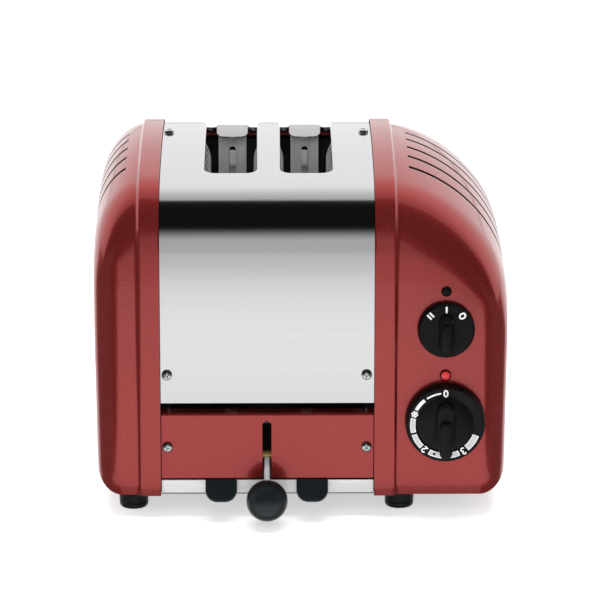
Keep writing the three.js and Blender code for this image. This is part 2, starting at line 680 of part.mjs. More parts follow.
// The yoke joins both racks and carries the slotted lug that the lift pin pushes.
function carriageYoke() {
  const slotRadius = PIN_RADIUS + 0.4;
  const lugX = [LEVER_X - 1.5, LEVER_X + 1.5];
  const lug = box(lugX, [LIFT_PIN.y - 5, LIFT_PIN.y + 8], [LIFT_PIN.z - 4.6, YOKE_Z[0] + 0.5]);
  const slotEnds = [LIFT_PIN.y - 0.3, LIFT_PIN.y + 3.2];
  const slot = join(
    bar([lugX[0] - 1, slotEnds[0], LIFT_PIN.z], [lugX[1] + 1, slotEnds[0], LIFT_PIN.z], slotRadius),
    bar([lugX[0] - 1, slotEnds[1], LIFT_PIN.z], [lugX[1] + 1, slotEnds[1], LIFT_PIN.z], slotRadius),
    box([lugX[0] - 1, lugX[1] + 1], slotEnds, [LIFT_PIN.z - slotRadius, LIFT_PIN.z + slotRadius]));
  const crossbar = box([SLOT_CENTRES[0] - 5, SLOT_CENTRES[1] + 5], YOKE_Y, YOKE_Z);
  return join(crossbar, cut(lug, slot));
}

SLOT_CENTRES.forEach((x, i) => add(`bread_rack_${SLOT_NAMES[i]}`, breadRack(x), PLAIN_STEEL));
add('carriage_yoke', carriageYoke(), PLAIN_STEEL);

// ---------------------------------------------------------------- lever
// A flat link with round ends between two places in the side view.
function link(x, from, to, radius) {
  const along = new THREE.Vector2(to.y - from.y, to.z - from.z).normalize().multiplyScalar(radius);
  const outline = [
    [from.y - along.y, from.z + along.x], [from.y + along.y, from.z - along.x],
    [to.y + along.y, to.z - along.x], [to.y - along.y, to.z + along.x],
  ];
  return join(
    extrudeAlongX(outline, x),
    bar([x[0], from.y, from.z], [x[1], from.y, from.z], radius, 14),
    bar([x[0], to.y, to.z], [x[1], to.y, to.z], radius, 14));
}

function leverPlate(side) {
  const middle = LEVER_X + side * LEVER_PLATE_OFFSET;
  const x = [middle - LEVER_PLATE_SHEET / 2, middle + LEVER_PLATE_SHEET / 2];
  const hole = (place, radius) => (
    bar([x[0] - 1, place.y, place.z], [x[1] + 1, place.y, place.z], radius));
  return cut(
    join(link(x, BARREL, PIVOT, 4.4), link(x, PIVOT, LIFT_PIN, 4.2)),
    hole(BARREL, BARREL.radius + GAP),
    hole(PIVOT, PIN_RADIUS + GAP),
    hole(LIFT_PIN, PIN_RADIUS + GAP));
}

// A pin across the lever with a small head at each end.
function crossPin(place, x) {
  return join(
    bar([x[0], place.y, place.z], [x[1], place.y, place.z], PIN_RADIUS),
    bar([x[0] - 1.2, place.y, place.z], [x[0], place.y, place.z], PIN_RADIUS + 1.2),
    bar([x[1], place.y, place.z], [x[1] + 1.2, place.y, place.z], PIN_RADIUS + 1.2));
}

const LUG_OFFSET = 10; // the pivot bracket's lugs stand this far each side of the lever
const LUG_SHEET = 1.4;

function pivotBracket() {
  const outer = LUG_OFFSET + LUG_SHEET;
  const webY = [CHAMBER_FRONT - PLATE_SHEET - GAP - 1.6, CHAMBER_FRONT - PLATE_SHEET - GAP];
  const web = box([LEVER_X - outer, LEVER_X + outer], webY, [60, 84]);
  const lugs = [[-outer, -LUG_OFFSET], [LUG_OFFSET, outer]].map(([from, to]) => box(
    [LEVER_X + from, LEVER_X + to], [webY[0], PIVOT.y + 6], [PIVOT.z - 6, END_PLATE_BOTTOM - 0.5]));
  const bore = bar(
    [LEVER_X - 15, PIVOT.y, PIVOT.z], [LEVER_X + 15, PIVOT.y, PIVOT.z], PIN_RADIUS + GAP);
  return cut(join(web, ...lugs), bore);
}

// The rod's direction, from the brass barrel down to the ball.
const rodRun = new THREE.Vector2(BALL.y - BARREL.y, BALL.z - BARREL.z).normalize();

function alongRod(distance, from = BARREL) {
  return [LEVER_X, from.y + rodRun.x * distance, from.z + rodRun.y * distance];
}

const ROD_IN_BALL = 8; // how far the rod's end stops short of going through the ball's centre

function leverBall() {
  const geometry = new THREE.SphereGeometry(BALL.radius, 24, 16);
  geometry.rotateX(Math.PI / 2);
  geometry.translate(LEVER_X, BALL.y, BALL.z);
  const mouth = alongRod(-BALL.radius - 4, BALL);
  const floor = alongRod(-ROD_IN_BALL + GAP + 3, BALL);
  const socket = bar(mouth, floor, ROD_RADIUS + GAP);
  return cut(toSolid(geometry), socket);
}

add('lever_plate_left', leverPlate(-1), PLAIN_STEEL);
add('lever_plate_right', leverPlate(1), PLAIN_STEEL);
add('lever_pivot_bracket', pivotBracket(), PLAIN_STEEL);
add('lever_pivot_pin', crossPin(PIVOT, [LEVER_X - 12, LEVER_X + 12]), PLAIN_STEEL);
add('lever_lift_pin', crossPin(LIFT_PIN, [LEVER_X - 6.3, LEVER_X + 6.3]), PLAIN_STEEL);
add('lever_barrel', cut(
  bar([LEVER_X - 7.2, BARREL.y, BARREL.z], [LEVER_X + 7.2, BARREL.y, BARREL.z], BARREL.radius, 18),
  bar(alongRod(-6), alongRod(6), ROD_RADIUS + GAP / 2)), BRASS);
add('lever_rod', bar(alongRod(-3.5), alongRod(-ROD_IN_BALL + 3, BALL), ROD_RADIUS), BRUSHED_STEEL);
add('lever_ball', leverBall(), SATIN_PLASTIC);

// ---------------------------------------------------------------- controls
// A control knob: a skirt with a chamfered rim and a raised bar to grip.
function knob(z, size) {
  const { radius, skirt, gripWidth, gripSpan, gripHeight } = size;
  const y = -CASTING_FACE - KNOB_STANDOFF;
  const disc = turnedAlongY([
    [0, 0],
    [radius, 0],
    [radius, skirt * 0.45],
    [radius - 1.2, skirt - 0.4],
    [radius - 1.9, skirt],
    [0, skirt],
  ], CONTROL_X, y, z, -1, 36);
  const grip = new THREE.ExtrudeGeometry(
    roundedRectangle([-gripWidth / 2, gripWidth / 2], gripSpan, gripWidth / 2 - 0.1),
    { depth: gripHeight + 1, bevelEnabled: false, curveSegments: 6 });
  grip.rotateX(Math.PI / 2);
  grip.translate(CONTROL_X, y - skirt + 1, z);
  return join(disc, toSolid(grip));
}

function controlShaft(z, radius) {
  const front = -CASTING_FACE - KNOB_STANDOFF + GAP;
  return bar([CONTROL_X, front, z], [CONTROL_X, front + SHAFT_LENGTH, z], radius, 14);
}

const CASE_FRONT = -CASTING_FACE + CASTING_WALL + 1.4;

// A switch or timer case behind the casting, with a clear bore for its shaft.
function controlCase(z, half, depth, bore) {
  const y = [CASE_FRONT, CASE_FRONT + depth];
  return cut(
    box([CONTROL_X - half.x, CONTROL_X + half.x], y, [z - half.z, z + half.z]),
    bar([CONTROL_X, y[0] - 1, z], [CONTROL_X, y[0] + 9, z], bore, 14));
}

add('selector_knob', knob(SELECTOR_Z, SELECTOR_KNOB), BLACK_PLASTIC);
add('selector_shaft', controlShaft(SELECTOR_Z, SELECTOR_SHAFT_RADIUS), PLAIN_STEEL);
add('selector_switch', controlCase(
  SELECTOR_Z, { x: 15, z: 14 }, 26, SELECTOR_SHAFT_RADIUS + GAP), BLACK_PLASTIC);
add('timer_knob', knob(TIMER_Z, TIMER_KNOB), BLACK_PLASTIC);
add('timer_shaft', controlShaft(TIMER_Z, TIMER_SHAFT_RADIUS), PLAIN_STEEL);
add('timer_case', controlCase(
  TIMER_Z, { x: 24, z: 22 }, 38, TIMER_SHAFT_RADIUS + GAP), PLAIN_STEEL);

const BEZEL = { bore: 2.7, stem: NEON_HOLE_RADIUS - GAP, rim: 3.6, depth: 4 };
const LENS = { radius: 2.4, depth: 8 };
const PLUG_RADIUS = 3.3;

add('neon_bezel', turnedAlongY([
  [BEZEL.bore, -BEZEL.depth],
  [BEZEL.stem, -BEZEL.depth],
  [BEZEL.stem, GAP],
  [BEZEL.rim, GAP],
  [BEZEL.rim, 1.1],
  [BEZEL.rim - 0.4, 1.6],
  [BEZEL.bore, 1.6],
  [BEZEL.bore, -BEZEL.depth],
], CONTROL_X, -CASTING_FACE, NEON_Z, -1, 18), BLACK_PLASTIC);
add('neon_lens', turnedAlongY([
  [0, -LENS.depth],
  [LENS.radius, -LENS.depth],
  [LENS.radius, 1.2],
  [LENS.radius - 0.7, 1.9],
  [0, 2.2],
], CONTROL_X, -CASTING_FACE, NEON_Z, -1, 16), LAMP_RED);
add('index_plug', turnedAlongY([
  [0, -4],
  [INDEX_STEM_RADIUS, -4],
  [INDEX_STEM_RADIUS, GAP],
  [PLUG_RADIUS, GAP],
  [PLUG_RADIUS - 0.2, 1],
  [PLUG_RADIUS - 1.1, 1.6],
  [0, 1.8],
], CONTROL_X, -CASTING_FACE, INDEX_Z, -1, 16), BLACK_PLASTIC);

// ---------------------------------------------------------------- mains inlet
const TERMINALS = { x: [78, 104], y: [50, 64], z: [BASE_Z + BASE_THICKNESS + GAP, 32] };
const GLAND_RIM = GLAND.bore + 5.9;

add('terminal_block', box(TERMINALS.x, TERMINALS.y, TERMINALS.z), CERAMIC);
add('cable_gland', turnedAlongY([
  [GLAND.bore, -8],
  [GLAND.bore + 2.8, -8],
  [GLAND.bore + 2.8, GAP],
  [GLAND_RIM, GAP],
  [GLAND_RIM, 3],
  [GLAND.bore + 3.8, 4],
  [GLAND.bore + 2.2, GLAND.reach - COVER_FACE],
  [GLAND.bore, GLAND.reach - COVER_FACE],
  [GLAND.bore, -8],
], GLAND.x, COVER_FACE, GLAND.z, 1, 18), BLACK_PLASTIC);

// ---------------------------------------------------------------- screws
const SCREW_PROFILE = [
  [0, -5], [SCREW_SHANK_RADIUS, -5], [SCREW_SHANK_RADIUS, GAP], [SCREW_HEAD_RADIUS, GAP],
  [SCREW_HEAD_RADIUS - 0.3, 1.6], [2, 2.3], [0, 2.5],
];

for (const [side, x] of Object.entries(SCREW_X)) {
  for (const [face, facing] of [['front', -1], ['rear', 1]]) {
    for (const [level, z] of [['upper', COVER_SCREW_Z], ['lower', PANEL_SCREW_Z]]) {
      const screw = turnedAlongY(SCREW_PROFILE, x, facing * COVER_FACE, z, facing, 12);
      add(`${face}_${level}_screw_${side}`, screw, PLAIN_STEEL);
    }
  }
  const lathe = new THREE.LatheGeometry(SCREW_PROFILE.map(([r, h]) => new THREE.Vector2(r, h)), 12);
  lathe.rotateX(Math.PI / 2);
  lathe.translate(x, TOP_SCREW_Y, coverHeight(TOP_SCREW_Y));
  add(`top_screw_${side}`, toSolid(lathe), PLAIN_STEEL);
}

// ---------------------------------------------------------------- the whole, over its origin
const assembly = new THREE.Group();
toaster.position.y = -(BALL.y - BALL.radius + GLAND.reach) / 2;
assembly.add(toaster);

export default assembly;
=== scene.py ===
# Looks of the two-slice pop-up toaster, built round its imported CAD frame.
# Shapes are written in millimetres, +Z up, with the front towards -Y. Y is counted from the
# middle of the body's depth, and everything becomes metres in the row frame when a mesh is made.
from math import asin, atan2, copysign, cos, degrees, hypot, pi, radians, sin, sqrt
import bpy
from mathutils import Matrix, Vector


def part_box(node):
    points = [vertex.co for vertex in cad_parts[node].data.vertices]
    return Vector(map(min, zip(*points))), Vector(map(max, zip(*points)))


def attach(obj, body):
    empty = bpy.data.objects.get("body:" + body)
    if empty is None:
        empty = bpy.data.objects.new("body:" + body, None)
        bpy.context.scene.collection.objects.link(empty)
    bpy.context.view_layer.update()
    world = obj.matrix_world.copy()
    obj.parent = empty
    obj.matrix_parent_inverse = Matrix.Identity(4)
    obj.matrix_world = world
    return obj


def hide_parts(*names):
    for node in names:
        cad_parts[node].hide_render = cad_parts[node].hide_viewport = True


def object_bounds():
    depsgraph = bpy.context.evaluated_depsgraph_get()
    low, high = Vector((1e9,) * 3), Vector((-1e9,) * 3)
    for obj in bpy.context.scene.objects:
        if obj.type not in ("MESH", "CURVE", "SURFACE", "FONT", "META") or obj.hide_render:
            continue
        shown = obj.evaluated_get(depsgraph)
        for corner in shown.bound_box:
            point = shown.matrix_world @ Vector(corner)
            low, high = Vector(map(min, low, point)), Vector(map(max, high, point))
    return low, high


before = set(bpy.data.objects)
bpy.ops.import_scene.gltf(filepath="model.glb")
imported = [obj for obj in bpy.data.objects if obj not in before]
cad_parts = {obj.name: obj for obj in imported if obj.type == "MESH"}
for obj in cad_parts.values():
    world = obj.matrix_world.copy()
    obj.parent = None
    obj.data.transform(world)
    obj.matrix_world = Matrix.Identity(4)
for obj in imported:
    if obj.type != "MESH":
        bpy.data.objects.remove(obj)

from types import SimpleNamespace

import bmesh
import bpy
from mathutils import Matrix, Vector
from mathutils.geometry import delaunay_2d_cdt

MM = 0.001
CAD_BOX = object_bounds()


def box_mm(node):
    lo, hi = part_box(node)
    return lo / MM, hi / MM


LEFT_LO, LEFT_HI = box_mm("left_end_casting")
RIGHT_LO, RIGHT_HI = box_mm("right_end_casting")
COVER_LO, COVER_HI = box_mm("body_cover")
MIDDLE_Y = (RIGHT_LO.y + RIGHT_HI.y) / 2


def node_box(node):
    """A CAD node's corners in millimetres, with Y counted from the middle of the body."""
    lo, hi = box_mm(node)
    shift = Vector((0, MIDDLE_Y, 0))
    return lo - shift, hi - shift


def node_centre(node):
    lo, hi = node_box(node)
    return (lo + hi) / 2


# ---- driving dimensions
GAP = 0.3
HALF_WIDTH = RIGHT_HI.x
HALF_DEPTH = (RIGHT_HI.y - RIGHT_LO.y) / 2
HEIGHT = RIGHT_HI.z
CASTING_BOTTOM = RIGHT_LO.z
CORNER_RADIUS = 42
ARCH_RADIUS = 456
STEP_DEPTH = 2.65
CASTING_WALL = 2.6
EDGE_RADIUS = 15.6
HEEL_RADIUS = 17
SIDE_DRAFT = 1.3
DRAFT_HEIGHT = 95
SHOULDER_STEPS = 14
EDGE_STEPS = 14
VENT_COUNT = 5
VENT_PITCH = 20.6
VENT_WIDTH = 3.8
VENT_BOTTOM = 89
LEFT_END = SimpleNamespace(
    side="left", sign=-1, inner=GAP - COVER_LO.x, band=12.6, step=1.7, crown_start=98.9,
    crown_drop=43.5, crown_power=1.93, vent_start=110.5, flat_steps=5)
RIGHT_END = SimpleNamespace(
    side="right", sign=1, inner=GAP + COVER_HI.x, band=12.6, step=1.6, crown_start=51.2,
    crown_drop=72.6, crown_power=1.78, vent_start=68.5, flat_steps=16)
COVER_OFFSET = 1.95
COVER_SHEET = 0.9
COVER_FACE = HALF_DEPTH - COVER_OFFSET
SLOT_WIDTH = 33
SLOT_FRONT = -59
SLOT_REAR = 84
SLOT_CORNER = 7
TAB_WIDTH = 20.4
TAB_SLOPE = 30
TAB_LENGTH = 11
RELIEF_RADIUS = 3.8
ROLL = 0.9
SLOT_CENTRES = {
    "left": node_centre("bread_rack_left").x,
    "right": node_centre("bread_rack_right").x,
}
LEVER_X = node_centre("lever_rod").x


# ---- materials
def new_material(name):
    material = bpy.data.materials.new(name)
    material.use_nodes = True
    return material, material.node_tree, material.node_tree.nodes["Principled BSDF"]


def feed(tree, node, inputs):
    """Fills a node's inputs, each with a constant or with another node's output."""
    for key, value in inputs.items():
        if isinstance(value, bpy.types.NodeSocket):
            tree.links.new(value, node.inputs[key])
        else:
            node.inputs[key].default_value = value


def add(tree, kind, inputs, **settings):
    node = tree.nodes.new("ShaderNode" + kind)
    for key, value in settings.items():
        setattr(node, key, value)
    feed(tree, node, inputs)
    return node


def axes_of(tree, space="Object"):
    """The X, Y and Z sockets of a point in that space."""
    place = add(tree, "TexCoord", {}).outputs[space]
    return add(tree, "SeparateXYZ", {"Vector": place}).outputs


def noise(tree, scale, detail=3, stretch=(1, 1, 1)):
    """A noise in object space. scale is in features per metre before the stretch."""
    place = add(tree, "TexCoord", {}).outputs["Object"]
    place = add(tree, "Mapping", {"Vector": place, "Scale": stretch}).outputs["Vector"]
    return add(tree, "TexNoise", {"Vector": place, "Scale": scale, "Detail": detail}).outputs["Fac"]


def ramp(tree, value, *stops):
    """Colours between (place, (r, g, b)) stops."""
    node = add(tree, "ValToRGB", {"Fac": value})
    elements = node.color_ramp.elements
    while len(elements) < len(stops):
        elements.new(0.5)
    for element, (place, colour) in zip(elements, stops):
        element.position = place
        element.color = (*colour, 1)
    return node.outputs["Color"]


def between(tree, value, low, high, start=0.3, end=0.7, **settings):
    """Low to high while the value goes from start to end."""
    inputs = {"Value": value, "From Min": start, "From Max": end, "To Min": low, "To Max": high}
    return add(tree, "MapRange", inputs, **settings).outputs["Result"]


def surface(name, dark, light, roughness, grain, relief, metallic=0.0, stretch=(1, 1, 1),
            coat=0.0, specular=0.5, cloud=25.0):
    """A procedural finish: colour drifts between two tones, roughness varies between its
    two values, and a fine grain (features per metre) stands up by relief millimetres."""
    material, tree, shader = new_material(name)
    drift = noise(tree, cloud, 4, stretch)
    fine = noise(tree, grain, 3, stretch)
    feed(tree, shader, {
        "Metallic": metallic,
        "Coat Weight": coat,
        "Coat Roughness": 0.02,
        "Specular IOR Level": specular,
        "Base Color": ramp(tree, drift, (0.3, dark), (0.7, light)),
        "Roughness": between(tree, fine, *roughness),
        "Normal": add(tree, "Bump", {"Height": fine, "Distance": relief * MM}).outputs["Normal"]})
    return material


def lamp_finish():
    material, tree, shader = new_material("lamp_red")
    fine = noise(tree, 900)
    glow = ramp(tree, fine, (0.3, (0.56, 0.025, 0.025)), (0.7, (0.66, 0.04, 0.04)))
    feed(tree, shader, {"Coat Weight": 0.6, "Emission Strength": 0.12, "Base Color": glow,
                        "Emission Color": glow, "Roughness": between(tree, fine, 0.12, 0.2)})
    return material


def bare_sheet(name, bright, shade_colour, shade_zones=()):
    """Plain bright sheet. Each zone (axis, from, to) in metres fades the finish to a near-black
    painted shade, which stands in for the shadow on the tray's floor behind its lip and under the
    lip where it turns under."""
    def darker(colour, share):
        return tuple(share * c for c in colour)

    material, tree, shader = new_material(name)
    rough = between(tree, noise(tree, 900), 0.34, 0.46)
    smudges = noise(tree, 90, 5, (0.4, 1, 2.2))
    colour = ramp(tree, smudges, (0.3, darker(bright, 0.86)), (0.62, bright))
    place = axes_of(tree)
    for axis, start, end in shade_zones:
        # Painted shade: the near-black tone that each zone fades to.
        painted_shade = ramp(tree, smudges, (0.3, darker(shade_colour, 0.6)), (0.7, shade_colour))
        share = between(tree, place[axis], 0.0, 1.0, start, end)
        blend = add(tree, "Mix", {}, data_type="RGBA")
        feed(tree, blend, {0: share, 6: colour, 7: painted_shade})
        colour = blend.outputs[2]
    feed(tree, shader, {"Metallic": 0.4, "Roughness": rough, "Base Color": colour})
    return material


# Deep red enamel with fine metallic grain under a hard glossy coat.
RED = surface("red_enamel", (0.355, 0.038, 0.035), (0.375, 0.042, 0.039), (0.25, 0.31),
              grain=2600, relief=0.0006, metallic=0.78, coat=0.74, specular=0.12, cloud=12)
STEEL = surface("brushed_steel", (0.722, 0.715, 0.732), (0.738, 0.731, 0.748), (0.11, 0.15),
                grain=2600, relief=0.0008, metallic=1.0, stretch=(0.03, 1.0, 1.0), cloud=240)
GUIDE_STEEL = surface("drawn_steel", (0.66, 0.675, 0.685), (0.86, 0.87, 0.88), (0.4, 0.52),
                      grain=1500, relief=0.004, metallic=0.15, stretch=(1, 1, 0.04), cloud=220)
TRAY_LO, TRAY_HI = (corner * MM for corner in node_box("crumb_tray"))
TRAY_FRONT = TRAY_LO.y + MIDDLE_Y * MM
# The tray's floor behind its front lip and the lip's underside are painted near-black as shade.
TRAY_STEEL = bare_sheet("tray_steel", (0.86, 0.85, 0.84), (0.022, 0.020, 0.018),
                        [("Y", TRAY_FRONT + 0.0012, TRAY_FRONT + 0.0022),
                         ("Z", TRAY_LO.z + 0.0011, TRAY_LO.z + 0.0004)])
WIRE_STEEL = bare_sheet("wire_steel", (0.84, 0.84, 0.85), (0.3, 0.3, 0.3))
# Near-black steel for the chamber's inner plates, heat shields and bracket: painted shade, where
# they sit in the dark inside the body.
SHADED_INNER_STEEL = surface("inner_steel_painted_shade", (0.012, 0.014, 0.014), (0.034, 0.036, 0.036), (0.45, 0.6),
                      grain=700, relief=0.01, metallic=0.4, specular=0.2, cloud=40)
# Near-black lining inside the castings and on the walls of their vents: painted shade, so the vents
# read as dark slots.
SHADED_CAST_LINING = surface("cast_lining_painted_shade", (0.010, 0.008, 0.008), (0.03, 0.022, 0.021), (0.6, 0.8),
                    grain=500, relief=0.03, metallic=0.3, specular=0.2, cloud=60)
SHEET = surface("plain_steel", (0.50, 0.51, 0.52), (0.62, 0.63, 0.64), (0.26, 0.40),
                grain=700, relief=0.004, metallic=1.0, stretch=(1, 1, 0.25), cloud=35)
BRIGHT = surface("bright_screw", (0.60, 0.61, 0.63), (0.74, 0.75, 0.77), (0.14, 0.26),
                 grain=1500, relief=0.003, metallic=1.0, cloud=300)
BLACK = surface("black_plastic", (0.0022, 0.0022, 0.0023), (0.0042, 0.0042, 0.0044), (0.36, 0.48),
                grain=2400, relief=0.012, specular=0.20, cloud=90)
SATIN = surface("satin_plastic", (0.0045, 0.0085, 0.0105), (0.0065, 0.0115, 0.014), (0.38, 0.46),
                grain=1400, relief=0.004, specular=0.5, cloud=60)
RUBBER = surface("black_rubber", (0.006, 0.009, 0.010), (0.012, 0.016, 0.018), (0.45, 0.6),
                 grain=1800, relief=0.03, specular=0.35, cloud=150)
BRASS = surface("brass", (0.66, 0.42, 0.12), (0.86, 0.60, 0.22), (0.34, 0.46),
                grain=900, relief=0.004, metallic=0.8, cloud=220)
MICA = surface("mica", (0.060, 0.058, 0.050), (0.13, 0.12, 0.10), (0.45, 0.7),
               grain=500, relief=0.03, cloud=120)
RIBBON = surface("heating_ribbon", (0.10, 0.10, 0.10), (0.24, 0.22, 0.21), (0.35, 0.5),
                 grain=900, relief=0.004, metallic=1.0, cloud=200)
CERAMIC = surface("ceramic", (0.70, 0.67, 0.60), (0.80, 0.78, 0.72), (0.35, 0.5),
                  grain=800, relief=0.01, cloud=80)
INK = surface("white_print", (0.78, 0.78, 0.79), (0.86, 0.86, 0.87), (0.4, 0.5),
              grain=2500, relief=0.004, cloud=300)
GREY_INK = surface("grey_print", (0.50, 0.51, 0.53), (0.57, 0.58, 0.60), (0.4, 0.5),
                   grain=2500, relief=0.004, cloud=300)
LAMP = lamp_finish()


# ---- mesh making
def add_object(name, data):
    ob = bpy.data.objects.new(name, data)
    bpy.context.scene.collection.objects.link(ob)
    return ob


def object_from(name, points, faces):
    """A new object from millimetre points, its normals made consistent."""
    mesh = bpy.data.meshes.new(name)
    mesh.from_pydata([(x * MM, (y + MIDDLE_Y) * MM, z * MM) for x, y, z in points], [], faces)
    work = bmesh.new()
    work.from_mesh(mesh)
    bmesh.ops.remove_doubles(work, verts=work.verts, dist=1e-7)
    bmesh.ops.dissolve_degenerate(work, edges=work.edges, dist=1e-7)
    bmesh.ops.recalc_face_normals(work, faces=work.faces)
    work.to_mesh(mesh)
    work.free()
    return add_object(name, mesh)


def face_outwards(ob, inside):
    """Turns an open sheet's faces away from the inside point, given in millimetres."""
    centre = Vector((inside[0], inside[1] + MIDDLE_Y, inside[2])) * MM
    work = bmesh.new()
    work.from_mesh(ob.data)
    away = sum((f.calc_center_median() - centre).dot(f.normal) * f.calc_area() for f in work.faces)
    if away < 0:
        bmesh.ops.reverse_faces(work, faces=work.faces)
    work.to_mesh(ob.data)
    work.free()


def modify(ob, kind, **settings):
    modifier = ob.modifiers.new(kind.lower(), kind)
    for key, value in settings.items():
        setattr(modifier, key, value)


def apply_modifier(ob, kind, **settings):
    modify(ob, kind, **settings)
    graph = bpy.context.evaluated_depsgraph_get()
    graph.update()
    done = bpy.data.meshes.new_from_object(ob.evaluated_get(graph))
    ob.modifiers.clear()
    old = ob.data
    ob.data = done
    bpy.data.meshes.remove(old)


def thicken(ob, thickness, shade_lining=None):
    """Gives a sheet its thickness, inwards. The optional lining is a near-black painted shade for
    its hidden side and its cut rims.
    """
    hidden = 0
    if shade_lining:
        hidden = 1
        for material in (shade_lining, shade_lining):
            ob.data.materials.append(material)
    apply_modifier(ob, "SOLIDIFY", thickness=thickness * MM, offset=-1, use_even_offset=True,
                   material_offset=hidden, material_offset_rim=hidden)


def soften(ob, width, segments=2, angle=30):
    apply_modifier(ob, "BEVEL", width=width * MM, segments=segments, limit_method="ANGLE",
                   angle_limit=radians(angle), miter_outer="MITER_ARC")


def combine(ob, other, operation):
    apply_modifier(ob, "BOOLEAN", operation=operation, solver="EXACT", object=other)
    bpy.data.objects.remove(other)


def dress(ob, material, body, nodes=(), smooth=32):
    """Gives a finished mesh its material, smoothing, body and the CAD nodes it stands for."""
    if not ob.data.materials:
        ob.data.materials.append(material)
    else:
        ob.data.materials[0] = material
    ob.data.shade_smooth()
    ob.data.set_sharp_from_angle(angle=radians(smooth))
    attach(ob, body)
    if nodes:
        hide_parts(*nodes)


def box_points(lo, hi):
    points = [(x, y, z) for x in (lo[0], hi[0]) for y in (lo[1], hi[1]) for z in (lo[2], hi[2])]
    faces = [(0, 1, 3, 2), (4, 6, 7, 5), (0, 4, 5, 1), (2, 3, 7, 6), (0, 2, 6, 4), (1, 5, 7, 3)]
    return points, faces


def prism(outline, place):
    """A closed solid from an outline of 2D points; place(u, v, end) gives each corner."""
    count = len(outline)
    points = [place(u, v, 0) for u, v in outline] + [place(u, v, 1) for u, v in outline]
    faces = [tuple(range(count)), tuple(range(2 * count - 1, count - 1, -1))]
    faces += [(i, (i + 1) % count, count + (i + 1) % count, count + i) for i in range(count)]
    return points, faces


def plate(outline, near, far, x=0.0, z=0.0):
    """A solid from an outline of (x, z) points about a place, between two depths."""
    return prism(outline, lambda u, v, end: (x + u, (near, far)[end], z + v))


def tube_faces(rings, count):
    """Faces between rings of count points each."""
    faces = []
    for start in range(0, (rings - 1) * count, count):
        for k in range(count):
            a, b = start + k, start + (k + 1) % count
            faces.append((a, b, b + count, a + count))
    return faces


def circle(centre, side, other, radius, count):
    turns = (2 * pi * k / count for k in range(count))
    return [tuple(centre + (side * cos(t) + other * sin(t)) * radius) for t in turns]


def turned(name, profile, origin, axis, segments=48):
    """A turned object: profile of (radius, height) points spun round the axis from origin.
    Where the profile isn't closed on itself it starts and ends on the axis."""
    axis = Vector(axis).normalized()
    side = axis.orthogonal().normalized()
    other = axis.cross(side)
    points = []
    for radius, height in profile:
        points += circle(Vector(origin) + axis * height, side, other, radius, segments)
    return object_from(name, points, tube_faces(len(profile), segments))


def wire(path, radius, sides=8):
    """A round wire along a path of points, closed at both ends."""
    points = []
    path = [Vector(p) for p in path]
    side = None
    for i, p in enumerate(path):
        along = (path[min(i + 1, len(path) - 1)] - path[max(i - 1, 0)]).normalized()
        side = side or along.orthogonal().normalized()
        side = (side - along * side.dot(along)).normalized()
        points += circle(p, side, along.cross(side), radius, sides)
    ends = [tuple(range(sides)), tuple(range(len(points) - sides, len(points)))]
    return points, tube_faces(len(path), sides) + ends


def merged(*parts):
    points, faces = [], []
    for part_points, part_faces in parts:
        faces += [tuple(i + len(points) for i in face) for face in part_faces]
        points += list(part_points)
    return points, faces


def arc(centre, radius, start, end, steps):
    """Points on an arc, with angles in degrees."""
    turns = [radians(start + (end - start) * i / steps) for i in range(steps + 1)]
    return [(centre[0] + radius * cos(t), centre[1] + radius * sin(t)) for t in turns]


def rounded_outline(lo, hi, radius, steps=8):
    left, low, right, high = lo[0] + radius, lo[1] + radius, hi[0] - radius, hi[1] - radius
    centres = enumerate([(right, low), (right, high), (left, high), (left, low)])
    return [p for i, centre in centres for p in arc(centre, radius, 90 * i - 90, 90 * i, steps)]


# ---- the loaf-shaped side profile
def loaf(offset=0.0, side=0.0, drop=0.0):
    """The profile's shoulder and crown circles; the parameters are those of the CAD part."""
    half = HALF_DEPTH - offset - side
    radius = CORNER_RADIUS - offset - side
    arch = ARCH_RADIUS - offset
    arch_centre = HEIGHT - offset - drop - arch
    corner_y = half - radius
    corner_z = arch_centre + sqrt((arch - radius) ** 2 - corner_y ** 2)
    meet = atan2(corner_y, corner_z - arch_centre)
    return SimpleNamespace(half=half, radius=radius, arch=arch, arch_centre=arch_centre,
                           corner_y=corner_y, corner_z=corner_z, meet=meet)


def rounding_rise(reach, radius):
    share = max(0.0, (reach - (HALF_WIDTH - radius)) / radius)
    return radius * (1 - sqrt(max(0.0, 1 - share ** 2)))


def crown_drop(end, reach):
    share = min(1.0, (reach - end.crown_start) / (HALF_WIDTH - end.crown_start))
    power = end.crown_power
    return end.crown_drop * (1 - (1 - share ** power) ** (1 / power))


# ---- end castings
VENT_MARGIN = 1.2
EASE = 1.5
LEAST_GAP = 0.25
UPPER_ROWS = 4
ROWS = 10


def arch_columns(edge):
    """Places across the crown: each vent's two edges with a close neighbour outside them."""
    columns = []
    for i in range(VENT_COUNT):
        centre = (i - (VENT_COUNT - 1) / 2) * VENT_PITCH
        half = VENT_WIDTH / 2
        columns += [centre - half - VENT_MARGIN, centre - half,
                    centre + half, centre + half + VENT_MARGIN]
        if i + 1 < VENT_COUNT:
            columns.append(centre + VENT_PITCH / 2)
    outer = columns[-1]
    extra = [outer + (edge - outer) * k / 4 for k in range(1, 4)]
    return [-y for y in reversed(extra)] + columns + extra


